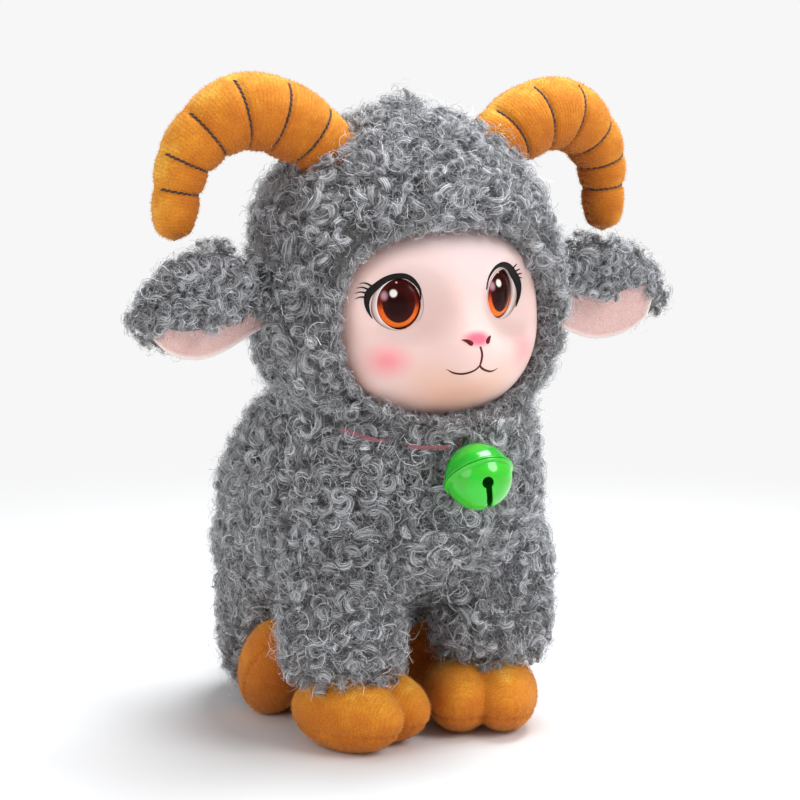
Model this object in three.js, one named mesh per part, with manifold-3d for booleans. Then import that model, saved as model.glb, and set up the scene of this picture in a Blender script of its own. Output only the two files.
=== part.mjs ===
// A seated plush lamb: a stuffed body and head in curly pile fabric, a moulded vinyl face with glossy eyes,
// stuffed velour horns and hooves, floppy lined ears, and a jingle bell on a cord round its neck.
// Millimetres, +Z up. The lamb faces -Y and its own left is +X. The origin is the middle of its seat's flat.
import * as THREE from "three";
import { mergeVertices } from "three/addons/utils/BufferGeometryUtils.js";
import Module from "manifold-3d";

const wasm = await Module();
wasm.setup();

// Clearances, walls and the flats that the stuffed forms rest on
const GAP = 0.3;
const PILE_WALL = 4.5;
const FLAT_DEPTH = 0.5;
const OVERRUN = 40;

// Torso, leaning forward from the seat to the neck
const TORSO_HEIGHT = 98;
const TORSO_LEAN = 51;
const TORSO_WIDTH = 78;
const TORSO_DEPTH = 88;
const TORSO_SQUARENESS = 2.4;
// Each section's height, lean, width and depth
const TORSO_SHARES = [
  [0, -0.02, 0, 0],
  [0.01, -0.02, 0.46, 0.27],
  [0.06, 0, 0.61, 0.41],
  [0.14, 0.1, 0.71, 0.53],
  [0.265, 0.25, 0.82, 0.64],
  [0.41, 0.51, 0.95, 0.89],
  [0.55, 0.67, 1, 1],
  [0.65, 0.69, 0.99, 0.96],
  [0.735, 0.745, 0.94, 0.895],
  [0.815, 0.83, 0.88, 0.83],
  [0.9, 0.92, 0.74, 0.68],
  [0.96, 0.98, 0.5, 0.45],
  [1, 1, 0, 0],
];
const TORSO_SIDES = 20;
const PELLETS_WIDTH = 40;
const PELLETS_DEPTH = 26;
const PELLETS_HEIGHT = 18;

// Head, leaning back a little towards the crown
const HEAD_WIDTH = 78;
const HEAD_DEPTH = 76;
const HEAD_HEIGHT = 84;
const HEAD_BOTTOM = 73;
const HEAD_FORWARD = 50.5;
const HEAD_LEAN = 3.5;
const HEAD_SQUARENESS = 2.2;
// Each section's height, lean, width and depth
const HEAD_SHARES = [
  [0, 0, 0, 0],
  [0.03, 0, 0.42, 0.38],
  [0.1, 0, 0.72, 0.66],
  [0.21, 0, 0.92, 0.87],
  [0.35, 0, 1, 0.97],
  [0.5, 0.2, 1, 1],
  [0.65, 0.7, 0.95, 0.97],
  [0.79, 1, 0.83, 0.86],
  [0.9, 1, 0.61, 0.64],
  [0.97, 0.9, 0.35, 0.36],
  [1, 0.9, 0, 0],
];
const HEAD_SIDES = 20;

// Vinyl face: a shell with a rounded outline, a muzzle and two eye sockets
const FACE_WIDTH = 55;
const FACE_HEIGHT = 47;
const FACE_SQUARENESS = 2.3;
const FACE_CENTRE_HEIGHT = 105;
const FACE_RIM_FORWARD = 64;
const FACE_WALL = 1.6;
const FACE_EDGE = 2;
const FACE_DOME = 14.5;
const FACE_DOME_POWER = 2.6;
const FACE_DOME_FALL = 0.7;
const BROW_PROJECTION = 5;
const MUZZLE_PROJECTION = 6.5;
const MUZZLE_HEIGHT = 97.5;
const MUZZLE_SPREAD = 10;
const SOCKET_SPREAD = 9;
const SOCKET_TEMPLE_SHARE = 0.65;
const LID_RISE = 0.5;
const OPENING_STRAIGHT = 4;
const OPENING_FLARE_SHARE = 0.56;
const FACE_SIDES = 28;
const FACE_RINGS = 7;

// Eyes: a printed iris disc behind each hole in the face, with a clear dome on it
const EYE_SPACING = 28;
const EYE_HEIGHT = 110.2;
const EYE_FORWARD = 71.8;
const EYE_SPLAY = 24;
const IRIS_WIDTH = 10.8;
const IRIS_HEIGHT = 12;
const PRINT_THICKNESS = 0.8;
const PRINT_FLANGE = 0.7;
const DOME_SINK = 2.4;
const DOME_BULGE = 1.6;
const DOME_GAP = 0.1;
const DOME_BEVEL_SHARES = [
  [1, 0],
  [0.9, 0.45],
  [0.68, 0.76],
  [0.36, 0.95],
];
const EYE_SIDES = 20;

// Horns: each line runs out from the crown, over and down
const HORN_REACH = 41;
const HORN_RISE = 30;
const HORN_SWEEP = 6;
const HORN_ROOT_OUT = 19;
const HORN_ROOT_FORWARD = 52.5;
const HORN_TIP_HEIGHT = 124.4;
const HORN_THICKNESS = 18.4;
// Each section's way out, height, sweep to the back, and thickness
const HORN_SHARES = [
  [0, 0.55, 0, 0],
  [0.03, 0.62, 0, 0.7],
  [0.12, 0.74, 0.05, 0.86],
  [0.25, 0.87, 0.1, 0.96],
  [0.43, 0.98, 0.15, 1],
  [0.64, 1, 0.25, 0.98],
  [0.83, 0.84, 0.45, 0.85],
  [0.945, 0.64, 0.68, 0.74],
  [0.98, 0.42, 0.86, 0.65],
  [1, 0.2, 0.95, 0.57],
  [1, 0.07, 1, 0.42],
  [1, 0, 1, 0],
];
const HORN_SIDES = 14;

// Ears: a padded leaf with a bed on its lower front for the lining
const EAR_LENGTH = 36;
const EAR_WIDTH = 28;
const EAR_THICKNESS = 9;
const EAR_ROOT_OUT = 39.6;
const EAR_ROOT_FORWARD = 50;
const EAR_ROOT_HEIGHT = 113;
const EAR_DROOP = 10;
const EAR_LEAN = 14;
const EAR_TURN = 8;
const EAR_SWING = 20;
const LINING_THICKNESS = 1.4;
const LINING_BED = 0.4;
const LINING_TOP = -0.5;
// Each section's way along, width and thickness
const EAR_SHARES = [
  [-0.1, 0, 0],
  [-0.08, 0.4, 0.4],
  [0.08, 0.68, 0.6],
  [0.28, 0.93, 0.92],
  [0.48, 1, 1],
  [0.68, 0.9, 0.94],
  [0.85, 0.66, 0.74],
  [0.96, 0.34, 0.42],
  [1, 0, 0],
];
const EAR_SIDES = 14;

// Front legs: straight pillars of pile fabric
const LEG_THICKNESS = 32;
const LEG_SPACING = 42.5;
const LEG_FORWARD = 56;
const LEG_BOTTOM = 13;
const LEG_TOP = 60;
// Each section's height and thickness
const LEG_SHARES = [
  [0, 0],
  [0.02, 0.5],
  [0.09, 0.85],
  [0.22, 1],
  [0.5, 1],
  [0.78, 0.9],
  [0.95, 0.55],
  [1, 0],
];
const LEG_SIDES = 16;

// Haunches, folded at the sides of the seat
const HAUNCH_WIDTH = 30;
const HAUNCH_DEPTH = 40;
const HAUNCH_HEIGHT = 44;
const HAUNCH_SPACING = 39;
const HAUNCH_FORWARD = 13;

// Hooves: two toes side by side
const HOOF_WIDTH = 29;
const HOOF_LENGTH = 32;
const HOOF_HEIGHT = 19;
const TOE_WIDTH = 18;
const FRONT_HOOF_SPACING = 34;
const FRONT_HOOF_FORWARD = 58;
const FRONT_TOE_IN = 25;
const HIND_HOOF_SPACING = 41;
const HIND_HOOF_FORWARD = 27;
const HIND_TOE_OUT = 8;
const HIND_PITCH = 52;

// Tail
const TAIL_WIDTH = 15;
const TAIL_DEPTH = 15;
const TAIL_LENGTH = 24;
const TAIL_HEIGHT = 27;
const TAIL_FORWARD = -19;

// Neck cord, a closed ring that dips to the front
const CORD_DIAMETER = 1;
const CORD_WIDTH = 66.5;
const CORD_DEPTH = 59;
const CORD_FRONT = 80.3;
const CORD_FRONT_HEIGHT = 76.4;
const CORD_TILT = 12;
const CORD_STEPS = 44;
const CORD_SIDES = 8;

// Bell: a cap and a cup that meet at a flange, a wire loop, and a loose ball
const BELL_DIAMETER = 15.8;
const BELL_WALL = 0.6;
const BELL_FLANGE = 0.6;
const BELL_FLANGE_THICKNESS = 0.45;
const BELL_GAP = 0.15;
const BELL_TILT = 40;
const LOOP_RADIUS = 1.5;
const LOOP_WIRE = 0.8;
const LOOP_SINK = 0.5;
const SLOT_WIDTH = 1.5;
const SLOT_HOLE = 2.8;
const SLOT_REACH = 50;
const BALL_DIAMETER = 4.2;
const BELL_SIDES = 20;
const BELL_ARC_STEPS = 5;

const FULL_TURN = 2 * Math.PI;
const radians = THREE.MathUtils.degToRad;
const vector = (x, y, z) => new THREE.Vector3(x, y, z);

function finish(color, roughness, metalness = 0) {
  return new THREE.MeshStandardMaterial({ color, roughness, metalness });
}

const PILE = finish(0x77787b, 0.95);
const FILL = finish(0xf2f0ea, 1);
const VINYL = finish(0xf0d8d4, 0.45);
const VELOUR = finish(0xd98a1c, 0.85);
const LINING = finish(0xe6bdb6, 0.85);
const IRIS = finish(0xe0601a, 0.4);
const CLEAR = finish(0xfaf6f2, 0.05);
const BAG = finish(0xd9d4c7, 0.8);
const CORD = finish(0xb06a74, 0.8);
const BELL = finish(0x22b839, 0.15, 0.6);
const STEEL = finish(0xb5b8bc, 0.3, 1);

// Solids for cutting and joining

function solidOf(geometry) {
  const bare = geometry.clone();
  bare.deleteAttribute("normal");
  bare.deleteAttribute("uv");
  const merged = mergeVertices(bare, 1e-4);
  return new wasm.Manifold(
    new wasm.Mesh({
      numProp: 3,
      vertProperties: merged.attributes.position.array,
      triVerts: new Uint32Array(merged.index.array),
    }),
  );
}

function geometryOf(solid) {
  const mesh = solid.getMesh();
  const geometry = new THREE.BufferGeometry();
  geometry.setAttribute("position", new THREE.BufferAttribute(mesh.vertProperties, 3));
  geometry.setIndex(new THREE.BufferAttribute(mesh.triVerts, 1));
  geometry.computeVertexNormals();
  return geometry;
}

const cut = (geometry, ...tools) =>
  geometryOf(tools.reduce((solid, tool) => solid.subtract(solidOf(tool)), solidOf(geometry)));
const join = (geometry, ...others) =>
  geometryOf(others.reduce((solid, other) => solid.add(solidOf(other)), solidOf(geometry)));
const overlap = (geometry, other) =>
  geometryOf(solidOf(geometry).intersect(solidOf(other)));

// A copy in the frame of the object that carries it, or out of that frame
function placed(geometry, carrier) {
  carrier.updateMatrixWorld(true);
  return geometry.clone().applyMatrix4(carrier.matrixWorld);
}

function inFrameOf(geometry, carrier) {
  carrier.updateMatrixWorld(true);
  return geometry.clone().applyMatrix4(carrier.matrixWorld.clone().invert());
}

// The same form with every side moved out by a distance, or in where it is negative
function grown(geometry, distance) {
  geometry.computeBoundingBox();
  const middle = geometry.boundingBox.getCenter(vector(0, 0, 0));
  const size = geometry.boundingBox.getSize(vector(0, 0, 0));
  return geometry
    .clone()
    .translate(-middle.x, -middle.y, -middle.z)
    .scale(
      1 + (2 * distance) / size.x,
      1 + (2 * distance) / size.y,
      1 + (2 * distance) / size.z,
    )
    .translate(middle.x, middle.y, middle.z);
}

// A closed form: rings round a line of centres, each with two half axes, between a pole at each end
function loft(sections, sides, squareness = 2) {
  const rings = sections.slice(1, -1);
  const points = [sections[0].at];
  const power = 2 / squareness;
  for (const { at, across, along } of rings) {
    for (let j = 0; j < sides; j++) {
      const c = Math.cos((j / sides) * FULL_TURN);
      const s = Math.sin((j / sides) * FULL_TURN);
      points.push(
        at
          .clone()
          .addScaledVector(across, Math.sign(c) * Math.abs(c) ** power)
          .addScaledVector(along, Math.sign(s) * Math.abs(s) ** power),
      );
    }
  }
  points.push(sections.at(-1).at);
  const index = [];
  const vertex = (ring, j) => 1 + ring * sides + (j % sides);
  for (let j = 0; j < sides; j++) {
    index.push(0, vertex(0, j + 1), vertex(0, j));
    for (let ring = 0; ring + 1 < rings.length; ring++) {
      index.push(vertex(ring, j), vertex(ring, j + 1), vertex(ring + 1, j + 1));
      index.push(vertex(ring, j), vertex(ring + 1, j + 1), vertex(ring + 1, j));
    }
    index.push(vertex(rings.length - 1, j), vertex(rings.length - 1, j + 1), points.length - 1);
  }
  const geometry = new THREE.BufferGeometry().setFromPoints(points);
  geometry.setIndex(index);
  geometry.computeVertexNormals();
  return geometry;
}

// A closed tube round a closed curve that lies in one plane with the given normal
function closedTube(pointAt, normal, radius, steps, sides) {
  const points = [];
  const index = [];
  for (let i = 0; i < steps; i++) {
    const here = pointAt(i / steps);
    const ahead = pointAt((i + 1) / steps).sub(pointAt((i - 1) / steps)).normalize();
    const outward = ahead.clone().cross(normal);
    for (let j = 0; j < sides; j++) {
      const turn = (j / sides) * FULL_TURN;
      points.push(
        here
          .clone()
          .addScaledVector(outward, radius * Math.cos(turn))
          .addScaledVector(normal, radius * Math.sin(turn)),
      );
      const vertex = (a, b) => ((i + a) % steps) * sides + ((j + b) % sides);
      index.push(vertex(0, 0), vertex(1, 0), vertex(1, 1));
      index.push(vertex(0, 0), vertex(1, 1), vertex(0, 1));
    }
  }
  const geometry = new THREE.BufferGeometry().setFromPoints(points);
  geometry.setIndex(index);
  geometry.computeVertexNormals();
  return geometry;
}

function ellipsoid(width, depth, height, around = 16, rings = 10) {
  return new THREE.SphereGeometry(1, around, rings)
    .rotateX(Math.PI / 2)
    .scale(width / 2, depth / 2, height / 2);
}

function mesh(name, geometry, material, carrier) {
  const made = new THREE.Mesh(geometry, material);
  made.name = name;
  carrier.add(made);
  return made;
}

const SIDES = [
  { side: "left", sign: 1 },
  { side: "right", sign: -1 },
];

const lamb = new THREE.Group();
const floor = new THREE.BoxGeometry(4 * TORSO_WIDTH, 4 * TORSO_DEPTH, OVERRUN);
floor.translate(0, 0, -OVERRUN / 2);

// Stuffed forms before they are hollowed or cut

function torsoForm() {
  const sections = TORSO_SHARES.map(([height, lean, width, depth]) => ({
    at: vector(0, -lean * TORSO_LEAN, height * (TORSO_HEIGHT + FLAT_DEPTH) - FLAT_DEPTH),
    across: vector((width * TORSO_WIDTH) / 2, 0, 0),
    along: vector(0, (depth * TORSO_DEPTH) / 2, 0),
  }));
  return loft(sections, TORSO_SIDES, TORSO_SQUARENESS);
}

function headForm() {
  const sections = HEAD_SHARES.map(([height, lean, width, depth]) => ({
    at: vector(0, lean * HEAD_LEAN - HEAD_FORWARD, HEAD_BOTTOM + height * HEAD_HEIGHT),
    across: vector((width * HEAD_WIDTH) / 2, 0, 0),
    along: vector(0, (depth * HEAD_DEPTH) / 2, 0),
  }));
  return loft(sections, HEAD_SIDES, HEAD_SQUARENESS);
}

const torso = torsoForm();
const head = headForm();
const torsoInside = grown(torso, -PILE_WALL);
const headInside = grown(head, -PILE_WALL);
const headRoom = grown(head, GAP);
const torsoRoom = grown(torso, GAP);

// Vinyl face

// How far forward of the rim's back the face's surface lies at a place across and up it.
// Round each eye it lies in the plane of the iris, and that hollow runs out to the temple.
function faceProjection(x, z) {
  const across = Math.abs(x) / (FACE_WIDTH / 2);
  const rise = (z - FACE_CENTRE_HEIGHT) / (FACE_HEIGHT / 2);
  const up = Math.abs(rise);
  const brow = BROW_PROJECTION * Math.max(0, rise) ** 2;
  const out = Math.min(1, (across ** FACE_SQUARENESS + up ** FACE_SQUARENESS) ** (1 / FACE_SQUARENESS));
  const dome = FACE_DOME * (1 - out ** FACE_DOME_POWER) ** FACE_DOME_FALL;
  const fromMuzzle = Math.hypot(x, z - MUZZLE_HEIGHT) / MUZZLE_SPREAD;
  const muzzle = MUZZLE_PROJECTION * Math.exp(-(fromMuzzle ** 2));
  const outward = Math.abs(x) - EYE_SPACING / 2;
  const reach = outward > 0 ? outward * SOCKET_TEMPLE_SHARE : outward;
  const fromEye = Math.hypot(reach, z - EYE_HEIGHT) / SOCKET_SPREAD;
  const eyePlane = EYE_FORWARD - FACE_RIM_FORWARD + LID_RISE - outward * Math.tan(radians(EYE_SPLAY));
  const fade = 1 - out ** 6;
  const socket = Math.exp(-(fromEye ** 4)) * fade;
  const plain = FACE_EDGE + dome + brow + muzzle * fade;
  return plain * (1 - socket) + eyePlane * socket;
}

// The face as a closed form down to a flat back, drawn in by an inset all round
function faceForm(inset, back) {
  const points = [];
  const index = [];
  const place = (ring, j) => {
    const out = ring / FACE_RINGS;
    const c = Math.cos((j / FACE_SIDES) * FULL_TURN);
    const s = Math.sin((j / FACE_SIDES) * FULL_TURN);
    const power = 2 / FACE_SQUARENESS;
    const x = out * (FACE_WIDTH / 2) * Math.sign(c) * Math.abs(c) ** power;
    const z = out * (FACE_HEIGHT / 2) * Math.sign(s) * Math.abs(s) ** power;
    const surface = FACE_RIM_FORWARD + faceProjection(x, z + FACE_CENTRE_HEIGHT);
    return vector(
      x * (1 - inset / (FACE_WIDTH / 2)),
      -(surface - inset),
      z * (1 - inset / (FACE_HEIGHT / 2)) + FACE_CENTRE_HEIGHT,
    );
  };
  points.push(place(0, 0));
  for (let ring = 1; ring <= FACE_RINGS; ring++) {
    for (let j = 0; j < FACE_SIDES; j++) {
      points.push(place(ring, j));
    }
  }
  for (let j = 0; j < FACE_SIDES; j++) {
    const edge = place(FACE_RINGS, j);
    points.push(vector(edge.x, -back, edge.z));
  }
  points.push(vector(0, -back, FACE_CENTRE_HEIGHT));
  const vertex = (ring, j) => 1 + (ring - 1) * FACE_SIDES + (j % FACE_SIDES);
  for (let j = 0; j < FACE_SIDES; j++) {
    index.push(0, vertex(1, j), vertex(1, j + 1));
    for (let ring = 1; ring <= FACE_RINGS; ring++) {
      index.push(vertex(ring, j), vertex(ring + 1, j), vertex(ring + 1, j + 1));
      index.push(vertex(ring, j), vertex(ring + 1, j + 1), vertex(ring, j + 1));
    }
    index.push(vertex(FACE_RINGS + 1, j), points.length - 1, vertex(FACE_RINGS + 1, j + 1));
  }
  const geometry = new THREE.BufferGeometry().setFromPoints(points);
  geometry.setIndex(index);
  geometry.computeVertexNormals();
  return geometry;
}

// The hole in the hood for the face, from behind the rim out through the front, wider to the sides
// in front of the rim
function faceOpening(clearance) {
  const flareStart = FACE_RIM_FORWARD + OPENING_STRAIGHT;
  const section = (forward, scale) => {
    const flare = OPENING_FLARE_SHARE * Math.max(0, forward - flareStart);
    return {
      at: vector(0, -forward, FACE_CENTRE_HEIGHT),
      across: vector(scale * (FACE_WIDTH / 2 + clearance + flare), 0, 0),
      along: vector(0, 0, -scale * (FACE_HEIGHT / 2 + clearance)),
    };
  };
  const back = FACE_RIM_FORWARD - clearance;
  const front = HEAD_FORWARD + HEAD_DEPTH;
  const sections = [
    section(front, 0),
    section(front, 1),
    section(flareStart, 1),
    section(back, 1),
    section(back, 0),
  ];
  return loft(sections, FACE_SIDES, FACE_SQUARENESS);
}

// Eyes: made about the iris's middle, facing -Y, then turned to their splay

function oval(profile) {
  return new THREE.LatheGeometry(profile, EYE_SIDES)
    .rotateX(Math.PI)
    .scale(IRIS_WIDTH / IRIS_HEIGHT, 1, 1);
}

function eyePrint(clearance = 0) {
  const radius = IRIS_HEIGHT / 2 + PRINT_FLANGE + clearance;
  const back = -DOME_SINK - PRINT_THICKNESS - clearance;
  const front = -DOME_SINK + clearance;
  return oval([
    new THREE.Vector2(0, back),
    new THREE.Vector2(radius, back),
    new THREE.Vector2(radius, front),
    new THREE.Vector2(0, front),
  ]);
}

function eyeDome() {
  const radius = IRIS_HEIGHT / 2 - GAP;
  const crown = DOME_BEVEL_SHARES.map(
    ([out, up]) => new THREE.Vector2(out * radius, up * DOME_BULGE),
  );
  return oval([
    new THREE.Vector2(0, -DOME_SINK + DOME_GAP),
    new THREE.Vector2(radius, -DOME_SINK + DOME_GAP),
    ...crown,
    new THREE.Vector2(0, DOME_BULGE),
  ]);
}

const eyeSockets = SIDES.map(({ side, sign }) => {
  const socket = new THREE.Group();
  socket.position.set((sign * EYE_SPACING) / 2, -EYE_FORWARD, EYE_HEIGHT);
  socket.rotation.z = sign * radians(EYE_SPLAY);
  mesh(`eye_print_${side}`, eyePrint(), IRIS, socket);
  mesh(`eye_dome_${side}`, eyeDome(), CLEAR, socket);
  lamb.add(socket);
  return socket;
});

// The hole that each dome stands in, out through the face's front
function eyeHole() {
  const radius = IRIS_HEIGHT / 2;
  return oval([
    new THREE.Vector2(0, -DOME_SINK),
    new THREE.Vector2(radius, -DOME_SINK),
    new THREE.Vector2(radius, OVERRUN),
    new THREE.Vector2(0, OVERRUN),
  ]);
}

const eyeHoles = eyeSockets.flatMap((socket) => [
  placed(eyePrint(GAP), socket),
  placed(eyeHole(), socket),
]);

function faceMask() {
  const inside = faceForm(FACE_WALL, FACE_RIM_FORWARD - OVERRUN);
  return cut(faceForm(0, FACE_RIM_FORWARD), inside, ...eyeHoles);
}

mesh("face_mask", faceMask(), VINYL, lamb);

// Neck cord

function cordPoint(share) {
  const turn = share * FULL_TURN;
  const tilt = radians(CORD_TILT);
  const back = (CORD_DEPTH / 2) * (1 - Math.cos(turn));
  return vector(
    (CORD_WIDTH / 2) * Math.sin(turn),
    -CORD_FRONT + back * Math.cos(tilt),
    CORD_FRONT_HEIGHT + back * Math.sin(tilt),
  );
}

function neckCord(clearance = 0) {
  const normal = vector(0, -Math.sin(radians(CORD_TILT)), Math.cos(radians(CORD_TILT)));
  return closedTube(cordPoint, normal, CORD_DIAMETER / 2 + clearance, CORD_STEPS, CORD_SIDES);
}

mesh("neck_cord", neckCord(), CORD, lamb);

// Bell: made about its loop, hanging down -Z, then tilted as it lies on the chest

const BELL_RADIUS = BELL_DIAMETER / 2;
const BELL_DROP = BELL_RADIUS + LOOP_RADIUS - LOOP_SINK;

const bell = new THREE.Group();
bell.position.copy(cordPoint(0));
bell.rotation.x = -radians(BELL_TILT);
lamb.add(bell);

// Half of the bell about its middle: the cap where up is 1, the cup where up is -1
function bellHalf(up) {
  const inner = BELL_RADIUS - BELL_WALL;
  const rim = BELL_RADIUS + BELL_FLANGE;
  const profile = [];
  for (let i = 0; i <= BELL_ARC_STEPS; i++) {
    const rise = ((i / BELL_ARC_STEPS) * Math.PI) / 2;
    profile.push(new THREE.Vector2(inner * Math.cos(rise), inner * Math.sin(rise)));
  }
  profile[BELL_ARC_STEPS].x = 0;
  for (let i = BELL_ARC_STEPS; i >= 1; i--) {
    const rise = ((i / BELL_ARC_STEPS) * Math.PI) / 2;
    profile.push(new THREE.Vector2(BELL_RADIUS * Math.cos(rise), BELL_RADIUS * Math.sin(rise)));
  }
  profile[BELL_ARC_STEPS + 1].x = 0;
  profile.push(new THREE.Vector2(BELL_RADIUS, BELL_FLANGE_THICKNESS));
  profile.push(new THREE.Vector2(rim, BELL_FLANGE_THICKNESS));
  profile.push(new THREE.Vector2(rim, 0));
  profile.push(profile[0].clone());
  const lathe = new THREE.LatheGeometry(profile.reverse(), BELL_SIDES).rotateX(Math.PI / 2);
  const half = up > 0 ? lathe : lathe.rotateX(Math.PI);
  return half.translate(0, 0, (up * BELL_GAP) / 2 - BELL_DROP);
}

// The cup's slot through its pole, with a round hole at each end
function bellSlot() {
  const reach = BELL_RADIUS * Math.sin(radians(SLOT_REACH));
  const depth = BELL_RADIUS + OVERRUN;
  const slot = new THREE.BoxGeometry(SLOT_WIDTH, 2 * reach, depth).translate(0, 0, -depth / 2);
  const holes = [1, -1].map((end) =>
    new THREE.CylinderGeometry(SLOT_HOLE / 2, SLOT_HOLE / 2, depth, 12)
      .rotateX(Math.PI / 2)
      .translate(0, 0, -depth / 2)
      .rotateX(end * radians(SLOT_REACH)),
  );
  return join(slot, ...holes).translate(0, 0, -BELL_DROP);
}

function bellLoop() {
  const ring = new THREE.TorusGeometry(LOOP_RADIUS, LOOP_WIRE / 2, 6, 14).rotateY(Math.PI / 2);
  const capRoom = ellipsoid(BELL_DIAMETER, BELL_DIAMETER, BELL_DIAMETER, 24, 16);
  return cut(ring, grown(capRoom, BELL_GAP).translate(0, 0, -BELL_DROP));
}

mesh("bell_cap", bellHalf(1), BELL, bell);
mesh("bell_cup", cut(bellHalf(-1), bellSlot()), BELL, bell);
mesh("bell_loop", bellLoop(), BELL, bell);

// The ball lies at the lowest place inside, straight below the bell's middle
const ballCarrier = new THREE.Group();
ballCarrier.position.set(0, 0, -BELL_DROP);
ballCarrier.rotation.x = radians(BELL_TILT);
bell.add(ballCarrier);
const ball = mesh(
  "bell_ball",
  new THREE.SphereGeometry(BALL_DIAMETER / 2, 12, 8),
  STEEL,
  ballCarrier,
);
ball.position.z = -(BELL_RADIUS - BELL_WALL - BALL_DIAMETER / 2 - GAP);

// Body

const cordRoom = neckCord(GAP);
const torsoCover = cut(torso, torsoInside, headRoom, cordRoom, floor);
mesh("torso_cover", torsoCover, PILE, lamb);

const pellets = ellipsoid(PELLETS_WIDTH, PELLETS_DEPTH, PELLETS_HEIGHT).translate(
  0,
  0,
  PILE_WALL + PELLETS_HEIGHT / 2,
);
const torsoFill = grown(torso, -PILE_WALL - GAP);
mesh("pellet_bag", overlap(pellets, torsoFill), BAG, lamb);
mesh("torso_stuffing", cut(torsoFill, headRoom, grown(pellets, GAP)), FILL, lamb);

function frontLeg(sign) {
  const sections = LEG_SHARES.map(([height, thickness]) => ({
    at: vector((sign * LEG_SPACING) / 2, -LEG_FORWARD, LEG_BOTTOM + height * (LEG_TOP - LEG_BOTTOM)),
    across: vector((thickness * LEG_THICKNESS) / 2, 0, 0),
    along: vector(0, (thickness * LEG_THICKNESS) / 2, 0),
  }));
  return loft(sections, LEG_SIDES);
}

// A hoof of two toes, pointing to -Y, about its middle
function hoofForm() {
  const toes = [1, -1].map((sign) =>
    ellipsoid(TOE_WIDTH, HOOF_LENGTH, HOOF_HEIGHT, 12, 8).translate(
      (sign * (HOOF_WIDTH - TOE_WIDTH)) / 2,
      0,
      0,
    ),
  );
  return join(...toes);
}

function hoof(sign, spacing, forward, turn, pitch) {
  const carrier = new THREE.Group();
  const tipped = Math.hypot(
    (HOOF_HEIGHT / 2) * Math.cos(radians(pitch)),
    (HOOF_LENGTH / 2) * Math.sin(radians(pitch)),
  );
  carrier.position.set((sign * spacing) / 2, -forward, tipped - FLAT_DEPTH);
  carrier.rotation.set(-radians(pitch), 0, sign * radians(turn), "ZYX");
  return placed(hoofForm(), carrier);
}

for (const { side, sign } of SIDES) {
  const leg = cut(frontLeg(sign), torsoRoom, headRoom);
  const legRoom = grown(frontLeg(sign), GAP);
  mesh(`front_leg_${side}`, leg, PILE, lamb);

  const frontHoof = hoof(sign, FRONT_HOOF_SPACING, FRONT_HOOF_FORWARD, -FRONT_TOE_IN, 0);
  mesh(`front_hoof_${side}`, cut(frontHoof, legRoom, torsoRoom, floor), VELOUR, lamb);

  const haunchForm = ellipsoid(HAUNCH_WIDTH, HAUNCH_DEPTH, HAUNCH_HEIGHT).translate(
    (sign * HAUNCH_SPACING) / 2,
    -HAUNCH_FORWARD,
    HAUNCH_HEIGHT / 2 - FLAT_DEPTH,
  );
  mesh(`haunch_${side}`, cut(haunchForm, torsoRoom, legRoom, floor), PILE, lamb);

  const hindHoof = hoof(sign, HIND_HOOF_SPACING, HIND_HOOF_FORWARD, HIND_TOE_OUT, HIND_PITCH);
  const haunchRoom = grown(haunchForm, GAP);
  mesh(`hind_hoof_${side}`, cut(hindHoof, torsoRoom, haunchRoom, legRoom, floor), VELOUR, lamb);
}

const tailForm = ellipsoid(TAIL_WIDTH, TAIL_DEPTH, TAIL_LENGTH, 12, 8).translate(
  0,
  -TAIL_FORWARD,
  TAIL_HEIGHT,
);
mesh("tail", cut(tailForm, torsoRoom), PILE, lamb);

// Head

mesh("head_cover", cut(head, headInside, faceOpening(GAP), cordRoom), PILE, lamb);

function headStuffing() {
  const behindFace = cut(grown(head, -PILE_WALL - GAP), faceOpening(GAP));
  const inFace = faceForm(FACE_WALL + GAP, FACE_RIM_FORWARD - FACE_WALL);
  return cut(join(behindFace, inFace), ...eyeHoles);
}

mesh("head_stuffing", headStuffing(), FILL, lamb);

function hornForm(sign) {
  const sections = HORN_SHARES.map(([out, up, back, thickness]) => ({
    at: vector(
      sign * (HORN_ROOT_OUT + out * HORN_REACH),
      -(HORN_ROOT_FORWARD - back * HORN_SWEEP),
      HORN_TIP_HEIGHT + up * HORN_RISE,
    ),
    radius: (thickness * HORN_THICKNESS) / 2,
  }));
  return loft(
    sections.map(({ at, radius }, i) => {
      const before = sections[Math.max(0, i - 1)].at;
      const after = sections[Math.min(sections.length - 1, i + 1)].at;
      const ahead = after.clone().sub(before).normalize();
      const across = vector(0, 1, 0).cross(ahead).normalize();
      const along = ahead.clone().cross(across);
      return { at, across: across.multiplyScalar(radius), along: along.multiplyScalar(radius) };
    }),
    HORN_SIDES,
  );
}

for (const { side, sign } of SIDES) {
  mesh(`horn_${side}`, cut(hornForm(sign), headRoom), VELOUR, lamb);
}

// Ears: made about the root, out along X, then leant and drooped

function earForm(sign) {
  const sections = EAR_SHARES.map(([along, width, thickness]) => ({
    at: vector(sign * along * EAR_LENGTH, 0, 0),
    across: vector(0, (sign * thickness * EAR_THICKNESS) / 2, 0),
    along: vector(0, 0, (width * EAR_WIDTH) / 2),
  }));
  return loft(sections, EAR_SIDES);
}

// The room in front of the ear's bed, below the fold, as a block
function liningRoom(front, clearance) {
  const block = new THREE.BoxGeometry(2 * EAR_LENGTH, EAR_THICKNESS, EAR_WIDTH);
  return block.translate(
    0,
    -EAR_THICKNESS / 2 - front - clearance,
    LINING_TOP - EAR_WIDTH / 2 - clearance,
  );
}

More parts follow.
